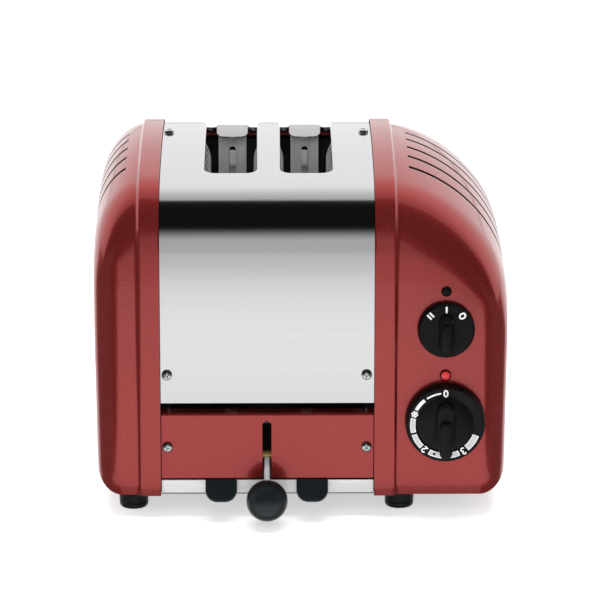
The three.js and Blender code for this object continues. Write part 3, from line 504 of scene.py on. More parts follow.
def casting_reaches(end):
    """How far from the middle each ring of the casting lies, with its offset."""
    inner = end.inner
    band_end = inner + end.band
    step_end = band_end + end.step
    edge_start = HALF_WIDTH - EDGE_RADIUS
    rings = [(reach, 0) for reach in (inner, inner + EASE, band_end - EASE, band_end)]
    rings.append((step_end, STEP_DEPTH))
    count = end.flat_steps
    flat = [step_end + EASE]
    flat += [step_end + (edge_start - step_end) * i / count for i in range(1, count)]
    flat.append(end.vent_start)
    turns = [pi / 2 * i / EDGE_STEPS for i in range(EDGE_STEPS + 1)]
    dome = [edge_start + EDGE_RADIUS * sin(t) for t in turns]
    dome.append(HALF_WIDTH - HEEL_RADIUS)
    reaches = []
    for reach in sorted(flat + dome):
        if not reaches or reach - reaches[-1] > LEAST_GAP:
            reaches.append(reach)
        elif reach in (end.vent_start, HALF_WIDTH - HEEL_RADIUS, HALF_WIDTH):
            reaches[-1] = reach
    return rings + [(reach, STEP_DEPTH) for reach in reaches]


def casting(end):
    rings = casting_reaches(end)
    heel = HALF_WIDTH - HEEL_RADIUS
    points = []

    def add(reach, y, z):
        share = max(0.0, (reach - rings[4][0]) / (HALF_WIDTH - rings[4][0]))
        low = min(1.0, max(0.0, 1 - (z - CASTING_BOTTOM) / DRAFT_HEIGHT))
        points.append((end.sign * (reach - SIDE_DRAFT * share * low), y, z))
        return len(points) - 1

    def row_height(top, bottom, j):
        if j <= UPPER_ROWS:
            return top + (VENT_BOTTOM - top) * j / UPPER_ROWS
        return VENT_BOTTOM + (bottom - VENT_BOTTOM) * (j - UPPER_ROWS) / (ROWS - UPPER_ROWS)

    tops, fronts, rears, bottoms = [], [], [], []
    for reach, offset in rings:
        dome = offset > 0
        shape = loaf(offset, rounding_rise(reach, EDGE_RADIUS) if dome else 0.0,
                     crown_drop(end, reach) if dome else 0.0)
        low = CASTING_BOTTOM + (rounding_rise(reach, HEEL_RADIUS) if dome else 0.0)
        shoulder = []
        for k in range(SHOULDER_STEPS + 1):
            turn = pi / 2 + (shape.meet - pi / 2) * k / SHOULDER_STEPS
            shoulder.append((shape.corner_y + shape.radius * sin(turn),
                             shape.corner_z + shape.radius * cos(turn)))
        crown = []
        for y in arch_columns(shape.arch * sin(shape.meet)):
            crown.append((y, shape.arch_centre + sqrt(shape.arch ** 2 - y ** 2)))
        profile = [(-y, z) for y, z in shoulder] + crown + list(reversed(shoulder))
        top = [add(reach, y, z) for y, z in profile]
        tops.append(top)
        for column, ends in ((fronts, 0), (rears, -1)):
            y, z = profile[ends]
            column.append([top[ends]])
            column[-1] += [add(reach, y, row_height(z, low, j)) for j in range(1, ROWS + 1)]
        if reach >= heel - 1e-6:
            inner_row = [add(reach, y, low) for y, z in profile[1:-1]]
            bottoms.append([fronts[-1][-1], *inner_row, rears[-1][-1]])
        else:
            bottoms.append(None)
    reach, _ = rings[-1]
    cap = []
    for i, start in enumerate(tops[-1]):
        if i == 0:
            cap.append(fronts[-1])
        elif i == len(tops[-1]) - 1:
            cap.append(rears[-1])
        else:
            _, y, z = points[start]
            bottom = bottoms[-1][i]
            low = points[bottom][2]
            middle = [add(reach, y, row_height(z, low, j)) for j in range(1, ROWS)]
            cap.append([start, *middle, bottom])

    first_crown = SHOULDER_STEPS + 1
    columns = arch_columns(ARCH_RADIUS * sin(loaf().meet))
    vent_columns = set()
    for i in range(VENT_COUNT):
        edge = (i - (VENT_COUNT - 1) / 2) * VENT_PITCH - VENT_WIDTH / 2
        nearest = min(range(len(columns)), key=lambda c: abs(columns[c] - edge))
        vent_columns.add(first_crown + nearest)
    faces = []

    def patch(here, there, i):
        faces.append((here[i], there[i], there[i + 1], here[i + 1]))

    for r in range(len(rings) - 1):
        open_here = rings[r][0] >= end.vent_start - 1e-6
        for i in range(len(tops[r]) - 1):
            if not (open_here and i in vent_columns):
                patch(tops[r], tops[r + 1], i)
            if bottoms[r]:
                patch(bottoms[r], bottoms[r + 1], i)
        for column in (fronts, rears):
            for j in range(ROWS):
                patch(column[r], column[r + 1], j)
    for i in range(len(cap) - 1):
        for j in range(ROWS):
            if not (i in vent_columns and j < UPPER_ROWS):
                patch(cap[i], cap[i + 1], j)
    shell = object_from(f"{end.side}_end_shell", points, faces)
    face_outwards(shell, (end.sign * end.inner, 0, HEIGHT / 2))
    # The castings' hidden side and vent walls get the near-black painted shade lining.
    thicken(shell, CASTING_WALL, shade_lining=SHADED_CAST_LINING)
    soften(shell, 0.45)
    dress(shell, RED, "housing", [f"{end.side}_end_casting"], smooth=40)


casting(LEFT_END)
casting(RIGHT_END)


# ---- steel cover
COVER = loaf(COVER_OFFSET)
WALL_RUN = COVER.corner_z - COVER_LO.z
SHOULDER_RUN = COVER.radius * (pi / 2 - COVER.meet)
CROWN_RUN = COVER.arch * COVER.meet * 2
COVER_RUN = 2 * (WALL_RUN + SHOULDER_RUN) + CROWN_RUN


def cover_place(run):
    """The cover's (y, z) at a distance along its sheet, from its front bottom edge."""
    mirrored = run > COVER_RUN / 2
    if mirrored:
        run = COVER_RUN - run
    if run < WALL_RUN:
        y, z = -COVER.half, COVER_LO.z + run
    elif run < WALL_RUN + SHOULDER_RUN:
        turn = pi / 2 - (run - WALL_RUN) / COVER.radius
        y = -COVER.corner_y - COVER.radius * sin(turn)
        z = COVER.corner_z + COVER.radius * cos(turn)
    else:
        turn = COVER.meet - (run - WALL_RUN - SHOULDER_RUN) / COVER.arch
        y = -COVER.arch * sin(turn)
        z = COVER.arch_centre + COVER.arch * cos(turn)
    return (-y if mirrored else y), z


def cover_run(y):
    """The distance along the sheet of a place y on its top."""
    far = abs(y)
    if far < COVER.arch * sin(COVER.meet):
        back = COVER.arch * asin(far / COVER.arch)
    else:
        turn = asin((far - COVER.corner_y) / COVER.radius)
        back = CROWN_RUN / 2 + COVER.radius * (turn - COVER.meet)
    return COVER_RUN / 2 + copysign(back, y)


def slot_outline(centre):
    """The slot's edge as (x, y, outward x, outward y, lip length, lip slope), going round
    anticlockwise in plan."""
    half, lip = SLOT_WIDTH / 2, 1.4
    ear = TAB_WIDTH / 2 + RELIEF_RADIUS
    edge = []
    corner_x, start_y = half - SLOT_CORNER, SLOT_FRONT + SLOT_CORNER
    for x, y in arc((corner_x, start_y), SLOT_CORNER, -90, 0, 8):
        out = Vector((x - corner_x, y - start_y)).normalized()
        edge.append((x, y, out.x, out.y, lip, 90))
    side_end = SLOT_REAR - sqrt(RELIEF_RADIUS ** 2 - (half - ear) ** 2)
    steps = 12
    for i in range(1, steps):
        edge.append((half, start_y + (side_end - start_y) * i / steps, 1, 0, lip, 90))
    first = degrees(atan2(side_end - SLOT_REAR, half - ear))
    for x, y in arc((ear, SLOT_REAR), RELIEF_RADIUS, first, 165, 7):
        out = Vector((x - ear, y - SLOT_REAR)).normalized()
        edge.append((x, y, out.x, out.y, lip, 90))
    edge.append((TAB_WIDTH / 2, SLOT_REAR, 0, 1, 0.2, TAB_SLOPE))
    round_corner = 4.2
    for turn in (86, 60, 30, 0):
        x = TAB_WIDTH / 2 - round_corner * (1 - sin(radians(turn)))
        length = TAB_LENGTH - round_corner * (1 - cos(radians(turn)))
        edge.append((x, SLOT_REAR, 0, 1, length, TAB_SLOPE))
    mirror = [(-x, y, -dx, *rest) for x, y, dx, *rest in reversed(edge)]
    bottom_edge = [(x, SLOT_FRONT, 0, -1, lip, 90) for x in (-4.5, 0, 4.5)]
    return [(centre + x, *rest) for x, *rest in edge + mirror + bottom_edge]


def inside_slot(x, y, margin=0.0):
    for centre in SLOT_CENTRES.values():
        wide = SLOT_WIDTH / 2 + margin
        if abs(x - centre) < wide and SLOT_FRONT - margin < y < SLOT_REAR + margin:
            return True
        ear = TAB_WIDTH / 2 + RELIEF_RADIUS
        if hypot(abs(x - centre) - ear, y - SLOT_REAR) < RELIEF_RADIUS + margin:
            return True
    return False


def steel_cover():
    left, right = COVER_LO.x, COVER_HI.x
    runs = [WALL_RUN * i / 6 for i in range(6)]
    runs += [WALL_RUN + SHOULDER_RUN * i / 24 for i in range(24)]
    runs += [WALL_RUN + SHOULDER_RUN + CROWN_RUN * i / 40 for i in range(21)]
    runs += [COVER_RUN - run for run in reversed(runs[:-1])]
    columns = [left + (right - left) * i / 30 for i in range(31)]
    flat, edges = [], []
    for run in runs:
        y, z = cover_place(run)
        for x in columns:
            on_edge = run in (runs[0], runs[-1]) or x in (left, right)
            if on_edge or z < COVER.corner_z or not inside_slot(x, y, ROLL + 1.2):
                flat.append((x, run))
    loops = []
    for centre in SLOT_CENTRES.values():
        outline = slot_outline(centre)
        first = len(flat)
        flat += [(x + dx * ROLL, cover_run(y + dy * ROLL)) for x, y, dx, dy, *_ in outline]
        edges += [(first + i, first + (i + 1) % len(outline)) for i in range(len(outline))]
        loops.append((first, outline))
    net = delaunay_2d_cdt([Vector(p) for p in flat], edges, [], 0, 1e-5)
    spots, _, triangles, origin, _, _ = net
    place = {source: i for i, sources in enumerate(origin) for source in sources}
    points = [(x, *cover_place(run)) for x, run in spots]
    kept = []
    polygons = [[spots[place[first + i]] for i in range(len(outline))] for first, outline in loops]
    for triangle in triangles:
        middle = sum((spots[i] for i in triangle), Vector((0, 0))) / 3
        if not any(in_polygon(middle, polygon) for polygon in polygons):
            kept.append(tuple(triangle))
    for first, outline in loops:
        previous = [place[first + i] for i in range(len(outline))]
        for share in (1 / 3, 2 / 3, 1, None):
            ring = []
            for i, (x, y, dx, dy, length, slope) in enumerate(outline):
                _, _, z = points[place[first + i]]
                turn = radians(slope * (share or 1))
                back, fall = ROLL * (1 - sin(turn)), ROLL * (1 - cos(turn))
                if share is None:
                    back -= length * cos(turn)
                    fall += length * sin(turn)
                points.append((x + dx * back, y + dy * back, z - fall))
                ring.append(len(points) - 1)
            count = len(ring)
            for i in range(count):
                after = (i + 1) % count
                kept.append((previous[i], previous[after], ring[after], ring[i]))
            previous = ring
    sheet = object_from("steel_cover", points, kept)
    face_outwards(sheet, (0, 0, HEIGHT / 2))
    thicken(sheet, COVER_SHEET)
    dress(sheet, STEEL, "housing", ["body_cover"], smooth=40)


def in_polygon(point, polygon):
    inside = False
    for i, a in enumerate(polygon):
        b = polygon[i - 1]
        if (a[1] > point[1]) != (b[1] > point[1]):
            cross = a[0] + (point[1] - a[1]) * (b[0] - a[0]) / (b[1] - a[1])
            if point[0] < cross:
                inside = not inside
    return inside


steel_cover()


# ---- lower panels
PANEL_SHEET = 1.2
PANEL_BEND = 1.8
PANEL_FLANGE = 10
LEVER_SLOT_WIDTH = 5.6
LEVER_SLOT_TOP = 64.2


def lower_panel(name, node, facing, cutter):
    """A red sheet with a flange turned inwards along its top, and an opening cut through it."""
    lo, hi = node_box(node)
    face = facing * COVER_FACE
    centre = (face - facing * PANEL_BEND, hi.z - PANEL_BEND)
    start = 0 if facing > 0 else 180
    outer = arc(centre, PANEL_BEND, start, 90, 8)
    inner = arc(centre, PANEL_BEND - PANEL_SHEET, 90, start, 8)
    flange_end = face - facing * PANEL_FLANGE
    outline = [(face, lo.z), *outer, (flange_end, hi.z), (flange_end, hi.z - PANEL_SHEET),
               *inner, (face - facing * PANEL_SHEET, lo.z)]
    ob = object_from(name, *prism(outline, lambda u, v, end: ((lo.x, hi.x)[end], u, v)))
    combine(ob, cutter, "DIFFERENCE")
    soften(ob, 0.3, angle=50)
    dress(ob, RED, "housing", [node])
    # The large flat face keeps its own normals, so that only the rounded edges blend.
    apply_modifier(ob, "WEIGHTED_NORMAL", keep_sharp=True)


def lower_panels():
    bottom = node_box("front_lower_panel")[0].z - 1
    radius = LEVER_SLOT_WIDTH / 2
    top = arc((LEVER_X, LEVER_SLOT_TOP - radius), radius, 0, 180, 16)
    outline = [(LEVER_X - radius, bottom), (LEVER_X + radius, bottom), *top]
    slot = object_from("cutter", *plate(outline, -COVER_FACE - 3, -COVER_FACE + 6))
    lower_panel("front_panel_sheet", "front_lower_panel", -1, slot)
    bush = node_centre("cable_gland")
    hole = [(0, 0), (6.8, 0), (6.8, 12), (0, 12)]
    round_hole = turned("cutter", hole, (bush.x, COVER_FACE - 6, bush.z), (0, 1, 0), 32)
    lower_panel("rear_panel_sheet", "rear_lower_panel", 1, round_hole)


lower_panels()


# ---- controls
GRIP_SUNK = 1.0
LIFT_STEP = 0.004
LIFT_COUNT = 12
PRINT_SUNK = 0.25


def knob(name, node, body, skirt_radius, skirt_height, ring, bars):
    """A round skirt with a chamfered rim and a grip made of bars. ring is the radius of a
    shallow groove on the skirt's face, or nothing. Gives the middle of the skirt's face."""
    x = node_centre(node).x
    back, top = node_box(node)[1].yz
    z, face = top - skirt_radius, back - skirt_height
    profile = [(0, 0), (skirt_radius - 0.4, 0), (skirt_radius, 0.4),
               (skirt_radius, skirt_height * 0.45), (skirt_radius - 0.25, skirt_height * 0.62),
               (skirt_radius - 0.9, skirt_height - 0.35), (skirt_radius - 1.4, skirt_height)]
    if ring:
        profile += [(ring + 0.3, skirt_height), (ring, skirt_height - 0.2),
                    (ring - 0.3, skirt_height)]
    profile.append((0, skirt_height))
    ob = turned(name, profile, (x, back, z), (0, -1, 0), 96)
    for width, low, high, height, radius in bars:
        outline = rounded_outline((-width / 2, low), (width / 2, high), radius, 10)
        grip = object_from("grip", *plate(outline, face - height, face + GRIP_SUNK, x, z))
        soften(grip, min(1.6, height * 0.35), segments=5, angle=40)
        combine(ob, grip, "UNION")
    dress(ob, BLACK, body, [node], smooth=35)
    return Vector((x, face, z))


def print_on(name, face, parts, material, body, lift=0.06):
    """Thin raised print on a knob's face. Each part is an outline of (x, z) from its centre,
    and each stands a hair prouder than the one before, so crossing strokes don't share a face."""
    solids = []
    for count, outline in enumerate(parts):
        front = face.y - lift - LIFT_STEP * (count % LIFT_COUNT)
        solids.append(plate(outline, face.y + PRINT_SUNK, front, face.x, face.z))
    dress(object_from(name, *merged(*solids)), material, body, smooth=30)


def ring_piece(inner, outer, start, end, steps=10):
    """A band between two radii; angles run anticlockwise from the top, in degrees."""
    outside = [polar(outer, start + (end - start) * i / steps) for i in range(steps + 1)]
    inside = [polar(inner, end + (start - end) * i / steps) for i in range(steps + 1)]
    return outside + inside


def polar(radius, degrees):
    return (-radius * sin(radians(degrees)), radius * cos(radians(degrees)))


def turned_outline(outline, radius, degrees):
    """Moves an outline drawn upright at the centre out to its place on a dial."""
    c, s = cos(radians(degrees)), sin(radians(degrees))
    out = polar(radius, degrees)
    return [(out[0] + x * c - y * s, out[1] + x * s + y * c) for x, y in outline]


def stroke(path, width):
    """The outline of a drawn line of that width, as one polygon."""
    left, right = [], []
    for i, (x, y) in enumerate(path):
        ahead = Vector(path[min(i + 1, len(path) - 1)])
        along = (ahead - Vector(path[max(i - 1, 0)])).normalized() * (width / 2)
        left.append((x - along.y, y + along.x))
        right.append((x + along.y, y - along.x))
    return left + right[::-1]


def oval(width, height, steps=20):
    turns = [2 * pi * i / steps for i in range(steps)]
    return [(width / 2 * cos(t), height / 2 * sin(t)) for t in turns]


def hoop(width, height, thickness, steps=28):
    """An oval ring, as short strokes that meet without overlapping."""
    outer = oval(width, height, steps)
    inner = oval(width - 2 * thickness, height - 2 * thickness, steps)
    return [[outer[i - 1], outer[i], inner[i], inner[i - 1]] for i in (*range(1, steps), 0)]


def digit(name, height, width):
    """The outlines of the dial's generic numbers, drawn upright about their centre."""
    half = height / 2
    wide = height * 0.27
    if name == "0":
        return hoop(height * 0.66, height, width)
    if name == "2":
        hook = arc((0, half - wide), wide, 165, -35, 10)
        return [stroke([*hook, (-wide, -half + width / 2)], width),
                stroke([(-wide - width / 2, -half + width / 2), (wide, -half + width / 2)], width)]
    return [stroke(arc((0, half - wide * 0.85), wide * 0.85, 160, -90, 10), width),
            stroke(arc((0, -half + wide), wide, 90, -160, 10), width)]


def placed(outlines, radius, degrees):
    return [turned_outline(outline, radius, degrees) for outline in outlines]


def snowflake(size, width):
    pieces = []
    for k in range(3):
        turn = radians(60 * k + 90)
        tip = (size * cos(turn), size * sin(turn))
        pieces.append(stroke([(-tip[0], -tip[1]), tip], width))
        for end in (1, -1):
            base = (0.5 * tip[0] * end, 0.5 * tip[1] * end)
            for lean in (50, -50):
                way = turn + radians(lean) + (pi if end < 0 else 0)
                pieces.append(stroke([base, (base[0] + 0.45 * size * cos(way),
                                             base[1] + 0.45 * size * sin(way))], width * 0.8))
    return pieces


DIAL_RADIUS = 20.7
DIAL_RIM = 22.3
FRAME_LINE = 0.45
DIAL_BANDS = [(78, 104, 19.0), (108, 134, 19.0), (150, 178, 18.7), (182, 205, 18.7),
              (221, 250, 18.2)]


def timer_dial(face):
    """Generic browning marks: 0, 2, 3, a frost mark, and framed grey bands between them."""
    white = [ring_piece(20.4, 21.5, 8, 34), ring_piece(19.8, 22.0, 39, 62)]
    white += placed(digit("0", 4.9, 0.95), DIAL_RADIUS, 0)
    white += placed(digit("2", 4.2, 0.9), DIAL_RADIUS, 141)
    white += placed(digit("3", 4.2, 0.9), DIAL_RADIUS, 213.5)
    white += placed(snowflake(2.3, 0.62), DIAL_RADIUS, 70)
    grey = []
    line, edge = FRAME_LINE, degrees(FRAME_LINE / DIAL_RIM)
    for start, end, low in DIAL_BANDS:
        white += [ring_piece(low, low + line, start, end),
                  ring_piece(DIAL_RIM - line, DIAL_RIM, start, end),
                  ring_piece(low + 0.4, DIAL_RIM - 0.4, start, start + edge, 2),
                  ring_piece(low + 0.4, DIAL_RIM - 0.4, end - edge, end, 2)]
        grey.append(ring_piece(low + line, DIAL_RIM - line, start + edge, end - edge))
    print_on("timer_dial_marks", face, white, INK, "timer")
    print_on("timer_dial_tones", face, grey, GREY_INK, "timer", lift=0.05)
    x, z = polar(20.5, 160)
    dot = plate(oval(1.8, 1.8), face.y + 0.2, face.y - 0.1, face.x + x, face.z + z)
    dress(object_from("timer_dial_dot", *dot), BLACK, "timer", smooth=30)


def selector_dial(face):
    bar_mark = rounded_outline((-0.6, -2.1), (0.6, 2.1), 0.55, 4)
    radius = 14.3
    marks = [turned_outline(bar_mark, radius, 0)]
    for shift in (-1.05, 1.05):
        marks.append(turned_outline([(x + shift, y) for x, y in bar_mark], radius, 44))
    marks += placed(hoop(4.1, 4.9, 1.1), radius, -44)
    print_on("selector_marks", face, marks, INK, "selector")


selector_dial(knob("selector_knob_cap", "selector_knob", "selector", 17.9, 5.5, None,
                   [(9.0, -12.3, 10.5, 6.0, 4.4), (7.4, -11.8, 6.5, 9.0, 3.6)]))
timer_dial(knob("timer_knob_cap", "timer_knob", "timer", 25.2, 8.0, 17.6,
                [(11.8, -15.5, 15, 7.5, 5.8), (8.0, -19.6, 4.5, 11.0, 3.9)]))


def trim(name, node, material, profile, segments, smooth):
    """A round piece of the right end's front, turned about its CAD node's middle."""
    centre, front = node_centre(node), node_box(node)[0].y
    ob = turned(name, profile, (centre.x, front, centre.z), (0, 1, 0), segments)
    dress(ob, material, "housing", [node], smooth)


DOME = [(2.9 * sin(radians(a)), 0.9 * (1 - cos(radians(a))))
        for a in range(12, 91, 13)]
trim("neon_ring", "neon_bezel", BLACK, [
    (2.95, 5.4), (3.1, 5.4), (3.1, 1.4), (3.6, 1.3), (3.6, 0.5), (3.4, 0.1), (3.25, 0),
    (3.05, 0.1), (2.95, 0.4), (2.95, 5.4)], 48, 32)
trim("neon_window", "neon_lens", LAMP, [(0, 0), *DOME, (2.9, 1.4), (2.9, 10), (0, 10)], 40, 50)
trim("index_cap", "index_plug", BLACK, [
    (0, 0), (1.6, 0.05), (2.6, 0.3), (3.1, 0.8), (3.3, 1.4), (2.2, 1.5), (2.2, 5.6),
    (0, 5.6)], 48, 50)


# ---- lever
ROD_RADIUS = 1.9
NECK_RADIUS = 3.4
ROD_SUNK = 0.75


def lever():
    ball_lo, ball_hi = node_box("lever_ball")
    ball, radius = (ball_lo + ball_hi) / 2, (ball_hi.x - ball_lo.x) / 2
    barrel = node_centre("lever_barrel")
    run = (ball - barrel).normalized()
    start = asin(NECK_RADIUS / radius)
    collar, deep = radius * cos(start), -0.72 * radius
    bore = ROD_RADIUS + 0.25
    profile = [(0, deep), (bore, deep), (bore, 0.1 - collar), (NECK_RADIUS - 0.5, 0.02 - collar)]
    for k in range(41):
        turn = start + (pi - start) * k / 40
        profile.append((radius * sin(turn), -radius * cos(turn)))
    knob_ball = turned("lever_knob_ball", profile, ball, run, 72)
    dress(knob_ball, SATIN, "lever", ["lever_ball"], smooth=50)
    end = (ball - barrel).length - radius * ROD_SUNK
    rod = [(0, 2.3), (ROD_RADIUS - 0.5, 2.3), (ROD_RADIUS, 3.6), (ROD_RADIUS, end), (0, end)]
    dress(turned("lever_rod_bar", rod, barrel, run, 32), WIRE_STEEL, "lever", ["lever_rod"])
    lo, hi = node_box("lever_barrel")
    half, thick = (hi.x - lo.x) / 2, (hi.z - lo.z) / 2
    ends = [(0, -half), (thick - 0.5, -half), (thick, -half + 0.5), (thick, half - 0.5),
            (thick - 0.5, half), (0, half)]
    drum = turned("lever_brass_barrel", ends, barrel, (1, 0, 0), 40)
    dress(drum, BRASS, "lever", ["lever_barrel"], smooth=35)


lever()


# ---- screws
HEAD_TOP = 2.5
PAN_HEAD = [(0, -4.9), (1.2, -4.9), (1.6, -4.4), (1.6, 0.3), (3.1, 0.3), (3.3, 0.5), (3.3, 0.9),
            (3.15, 1.5), (2.7, 2.05), (2.0, 2.35), (1.0, 2.48), (0, HEAD_TOP)]
RECESS = [(-1.75, 3), (1.75, 3), (1.75, 2.2), (0.5, 0.9), (-0.5, 0.9), (-1.75, 2.2)]
RECESS_HALF = 0.32


def screw(name, node, facing, turn):
    """A pan-head screw with a cross recess. facing is -1 for the front, 1 for the rear, 0 up."""
    ob = turned(name, PAN_HEAD, (0, 0, 0), (0, 0, 1), 40)
    for angle in (turn, turn + pi / 2):
        along = Vector((cos(angle), sin(angle), 0))
        across = Vector((-along.y, along.x, 0))
        cutter = prism(RECESS, lambda u, v, end: tuple(
            along * u + across * (RECESS_HALF, -RECESS_HALF)[end] + Vector((0, 0, v))))
        combine(ob, object_from("cutter", *cutter), "DIFFERENCE")
    lo, hi = node_box(node)
    place, spin = (lo + hi) / 2, Matrix.Identity(4)
    if facing:
        place.y = (lo.y + HEAD_TOP) if facing < 0 else (hi.y - HEAD_TOP)
        spin = Matrix.Rotation(-facing * pi / 2, 4, "X")
    else:
        place.z = hi.z - HEAD_TOP
    back = Matrix.Translation(Vector((0, -MIDDLE_Y * MM, 0)))
    shift = Matrix.Translation(Vector((place.x, place.y + MIDDLE_Y, place.z)) * MM)
    ob.data.transform(shift @ spin @ back)
    dress(ob, BRIGHT, "housing", [node], smooth=35)


def screws():
    turn = 0.35
    for side in ("left", "right"):
        for face, facing in (("front", -1), ("rear", 1)):
            for level in ("upper", "lower"):
                screw(f"{face}_{level}_head_{side}", f"{face}_{level}_screw_{side}", facing, turn)
                turn += 0.9
        screw(f"top_head_{side}", f"top_screw_{side}", 0, turn)
        turn += 0.7


screws()


# ---- feet, grips and gland
def feet():
    top = CASTING_BOTTOM - GAP
    for row in ("front", "rear"):
        for side in ("left", "right"):
            node = f"{row}_foot_{side}"
            lo, hi = node_box(node)
            r = (hi.x - lo.x) / 2
            profile = [(0, 0.5), (r - 4.5, 0.5), (r - 4.2, 0), (r - 2.2, 0), (r - 1.2, 0.3),
                       (r - 0.5, 1.2), (r - 0.35, 3.4), (r - 0.8, 3.8), (r - 0.8, 4.3),
                       (r - 0.3, 4.7), (r, top - 0.4), (r - 0.4, top), (3, top), (3, hi.z),
                       (0, hi.z)]
            centre = (lo + hi) / 2
            ob = turned(f"{row}_rubber_foot_{side}", profile, (*centre.xy, 0), (0, 0, 1), 56)
            dress(ob, RUBBER, "housing", [node], smooth=40)


GRIP_LENGTH = 13.5
GRIP_THICKNESS = 3.0
GRIP_SLOPE = radians(42)
PAD_THICKNESS = 1.6


def grips():
    """A pad against the tray's lip and a rounded tongue sloping down and forward from it."""
    face = node_box("crumb_tray")[0].y - GAP
    across, fall = cos(GRIP_SLOPE), sin(GRIP_SLOPE)
    for side in ("left", "right"):
        node = f"tray_grip_{side}"
        lo, hi = node_box(node)
        x, half = (lo.x + hi.x) / 2, (hi.x - lo.x) / 2
        outline = rounded_outline((-half, -GRIP_LENGTH), (half, GRIP_LENGTH), 7.5, 10)
        top = hi.z - 0.6
        root = top - GRIP_THICKNESS * across - 0.1

        def place(u, v, end):
            rise = GRIP_THICKNESS * end
            return x + u, face + v * across - rise * fall, root + v * fall + rise * across

        tongue = object_from(f"tray_grip_tongue_{side}", *prism(outline, place))
        behind = box_points((x - 20, face - PAD_THICKNESS / 2, 0), (x + 20, face + 30, 60))
        combine(tongue, object_from("cutter", *behind), "DIFFERENCE")
        pad = box_points((x - half, face - PAD_THICKNESS, lo.z + 3.9), (x + half, face, top))
        combine(tongue, object_from("pad", *pad), "UNION")
        soften(tongue, 0.7, segments=3, angle=40)
        dress(tongue, SATIN, "tray", [node], smooth=35)


GLAND_BORE = 3.6
GLAND_RIBS = 4


def gland():
    centre = node_centre("cable_gland")
    reach = node_box("cable_gland")[1].y - COVER_FACE
    profile = [(GLAND_BORE, -8), (6.4, -8), (6.4, 0.3), (9.1, 0.3), (9.5, 0.8), (9.5, 2.4),
               (9.0, 3.0), (7.5, 3.4)]
    for i in range(GLAND_RIBS):
        start = 3.9 + i * (reach - 4.4) / GLAND_RIBS
        radius = 7.3 - 1.3 * i / GLAND_RIBS
        profile += [(radius, start), (radius, start + 1.3), (radius - 0.7, start + 1.5),
                    (radius - 0.7, start + 1.9)]
    profile += [(5.8, reach - 0.4), (5.4, reach), (GLAND_BORE, reach), (GLAND_BORE, -8)]
    ob = turned("cable_bush", profile, (centre.x, COVER_FACE, centre.z), (0, 1, 0))
    dress(ob, BLACK, "housing", ["cable_gland"], smooth=35)


feet()
grips()
gland()


# ---- toasting chamber
WIRE_RADIUS = 0.8
GUARD_RODS = 11
GUARD_SHOULDER = 186.0
BEND_STEPS = 6


def bread_guards():
    """Two long rails with rods between them, which lean outwards above the shoulder."""
    for side, centre in SLOT_CENTRES.items():
        for hand in ("outer", "inner"):
            node = f"bread_guard_{side}_{hand}"
            lo, hi = node_box(node)
            outward = 1 if (lo.x + hi.x) / 2 > centre else -1
            low_x, top_x = (lo.x + 0.9, hi.x - 0.9)[::outward]
            low, top = lo.z + 1.2, hi.z - 1.2
            parts = [wire([(x, lo.y + 0.6, z), (x, hi.y - 0.6, z)], WIRE_RADIUS)
                     for x, z in ((low_x, low), (top_x, top))]
            for i in range(GUARD_RODS):
                y = lo.y + 1.5 + (hi.y - lo.y - 3) * i / (GUARD_RODS - 1)
                path = [(low_x, y, low)]
                for share in (k / BEND_STEPS for k in range(BEND_STEPS + 1)):
                    bend = share * share * (3 - 2 * share)
                    path.append((low_x + (top_x - low_x) * bend, y,
                                 GUARD_SHOULDER + (top - GUARD_SHOULDER) * share))
                parts.append(wire(path, WIRE_RADIUS * 0.95))
            ob = object_from(f"wire_guard_{side}_{hand}", *merged(*parts))
            dress(ob, WIRE_STEEL, "housing", [node], smooth=50)


RIBBON_TURNS = 30
RIBBON_WIDTH = 1.3
CARD_HALF = 0.35


def heating_elements():
    for side in ("left", "centre", "right"):
        node = f"heating_element_{side}"
        lo, hi = node_box(node)
        x = (lo.x + hi.x) / 2
        card = box_points((x - CARD_HALF, lo.y, lo.z), (x + CARD_HALF, hi.y, hi.z))
        dress(object_from(f"mica_card_{side}", *card), MICA, "housing", [node])
        strips = []
        for i in range(RIBBON_TURNS):
            z = lo.z + 4 + i * (hi.z - lo.z - 8) / RIBBON_TURNS
            for near, far in ((x - 0.6, x - 0.38), (x + 0.38, x + 0.6)):
                strips.append(box_points((near, lo.y + 3, z), (far, hi.y - 3, z + RIBBON_WIDTH)))
        ribbon = object_from(f"element_ribbon_{side}", *merged(*strips))
        dress(ribbon, RIBBON, "housing")


bread_guards()
heating_elements()


# ---- CAD pieces that stay
KEPT = [
    (TRAY_STEEL, ["crumb_tray"]),
    (GUIDE_STEEL, ["front_guide_left", "front_guide_right", "rear_guide_left", "rear_guide_right",
                   "bread_rack_left", "bread_rack_right"]),
    (SHEET, ["carriage_yoke", "lever_plate_left", "lever_plate_right", "lever_pivot_pin",
             "lever_lift_pin", "selector_shaft", "timer_shaft", "timer_case"]),
    # These inner pieces are painted near-black as shade.
    (SHADED_INNER_STEEL, ["base_plate", "front_end_plate", "rear_end_plate", "left_heat_shield",
                   "right_heat_shield", "lever_pivot_bracket"]),
    (BLACK, ["selector_switch"]),
    (CERAMIC, ["terminal_block"]),
]


def dress_kept_nodes():
    """Folded sheet and turned pieces keep their CAD shape, with eased edges and a finish."""
    for material, names in KEPT:
        for name in names:
            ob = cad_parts[name]
            ob.data.materials.clear()
            ob.data.materials.append(material)
            modify(ob, "WELD", merge_threshold=1e-5)
            width = 0.3 if name == "crumb_tray" else 0.12
            modify(ob, "BEVEL", width=width * MM, segments=2, limit_method="ANGLE",
                   angle_limit=radians(50))


dress_kept_nodes()


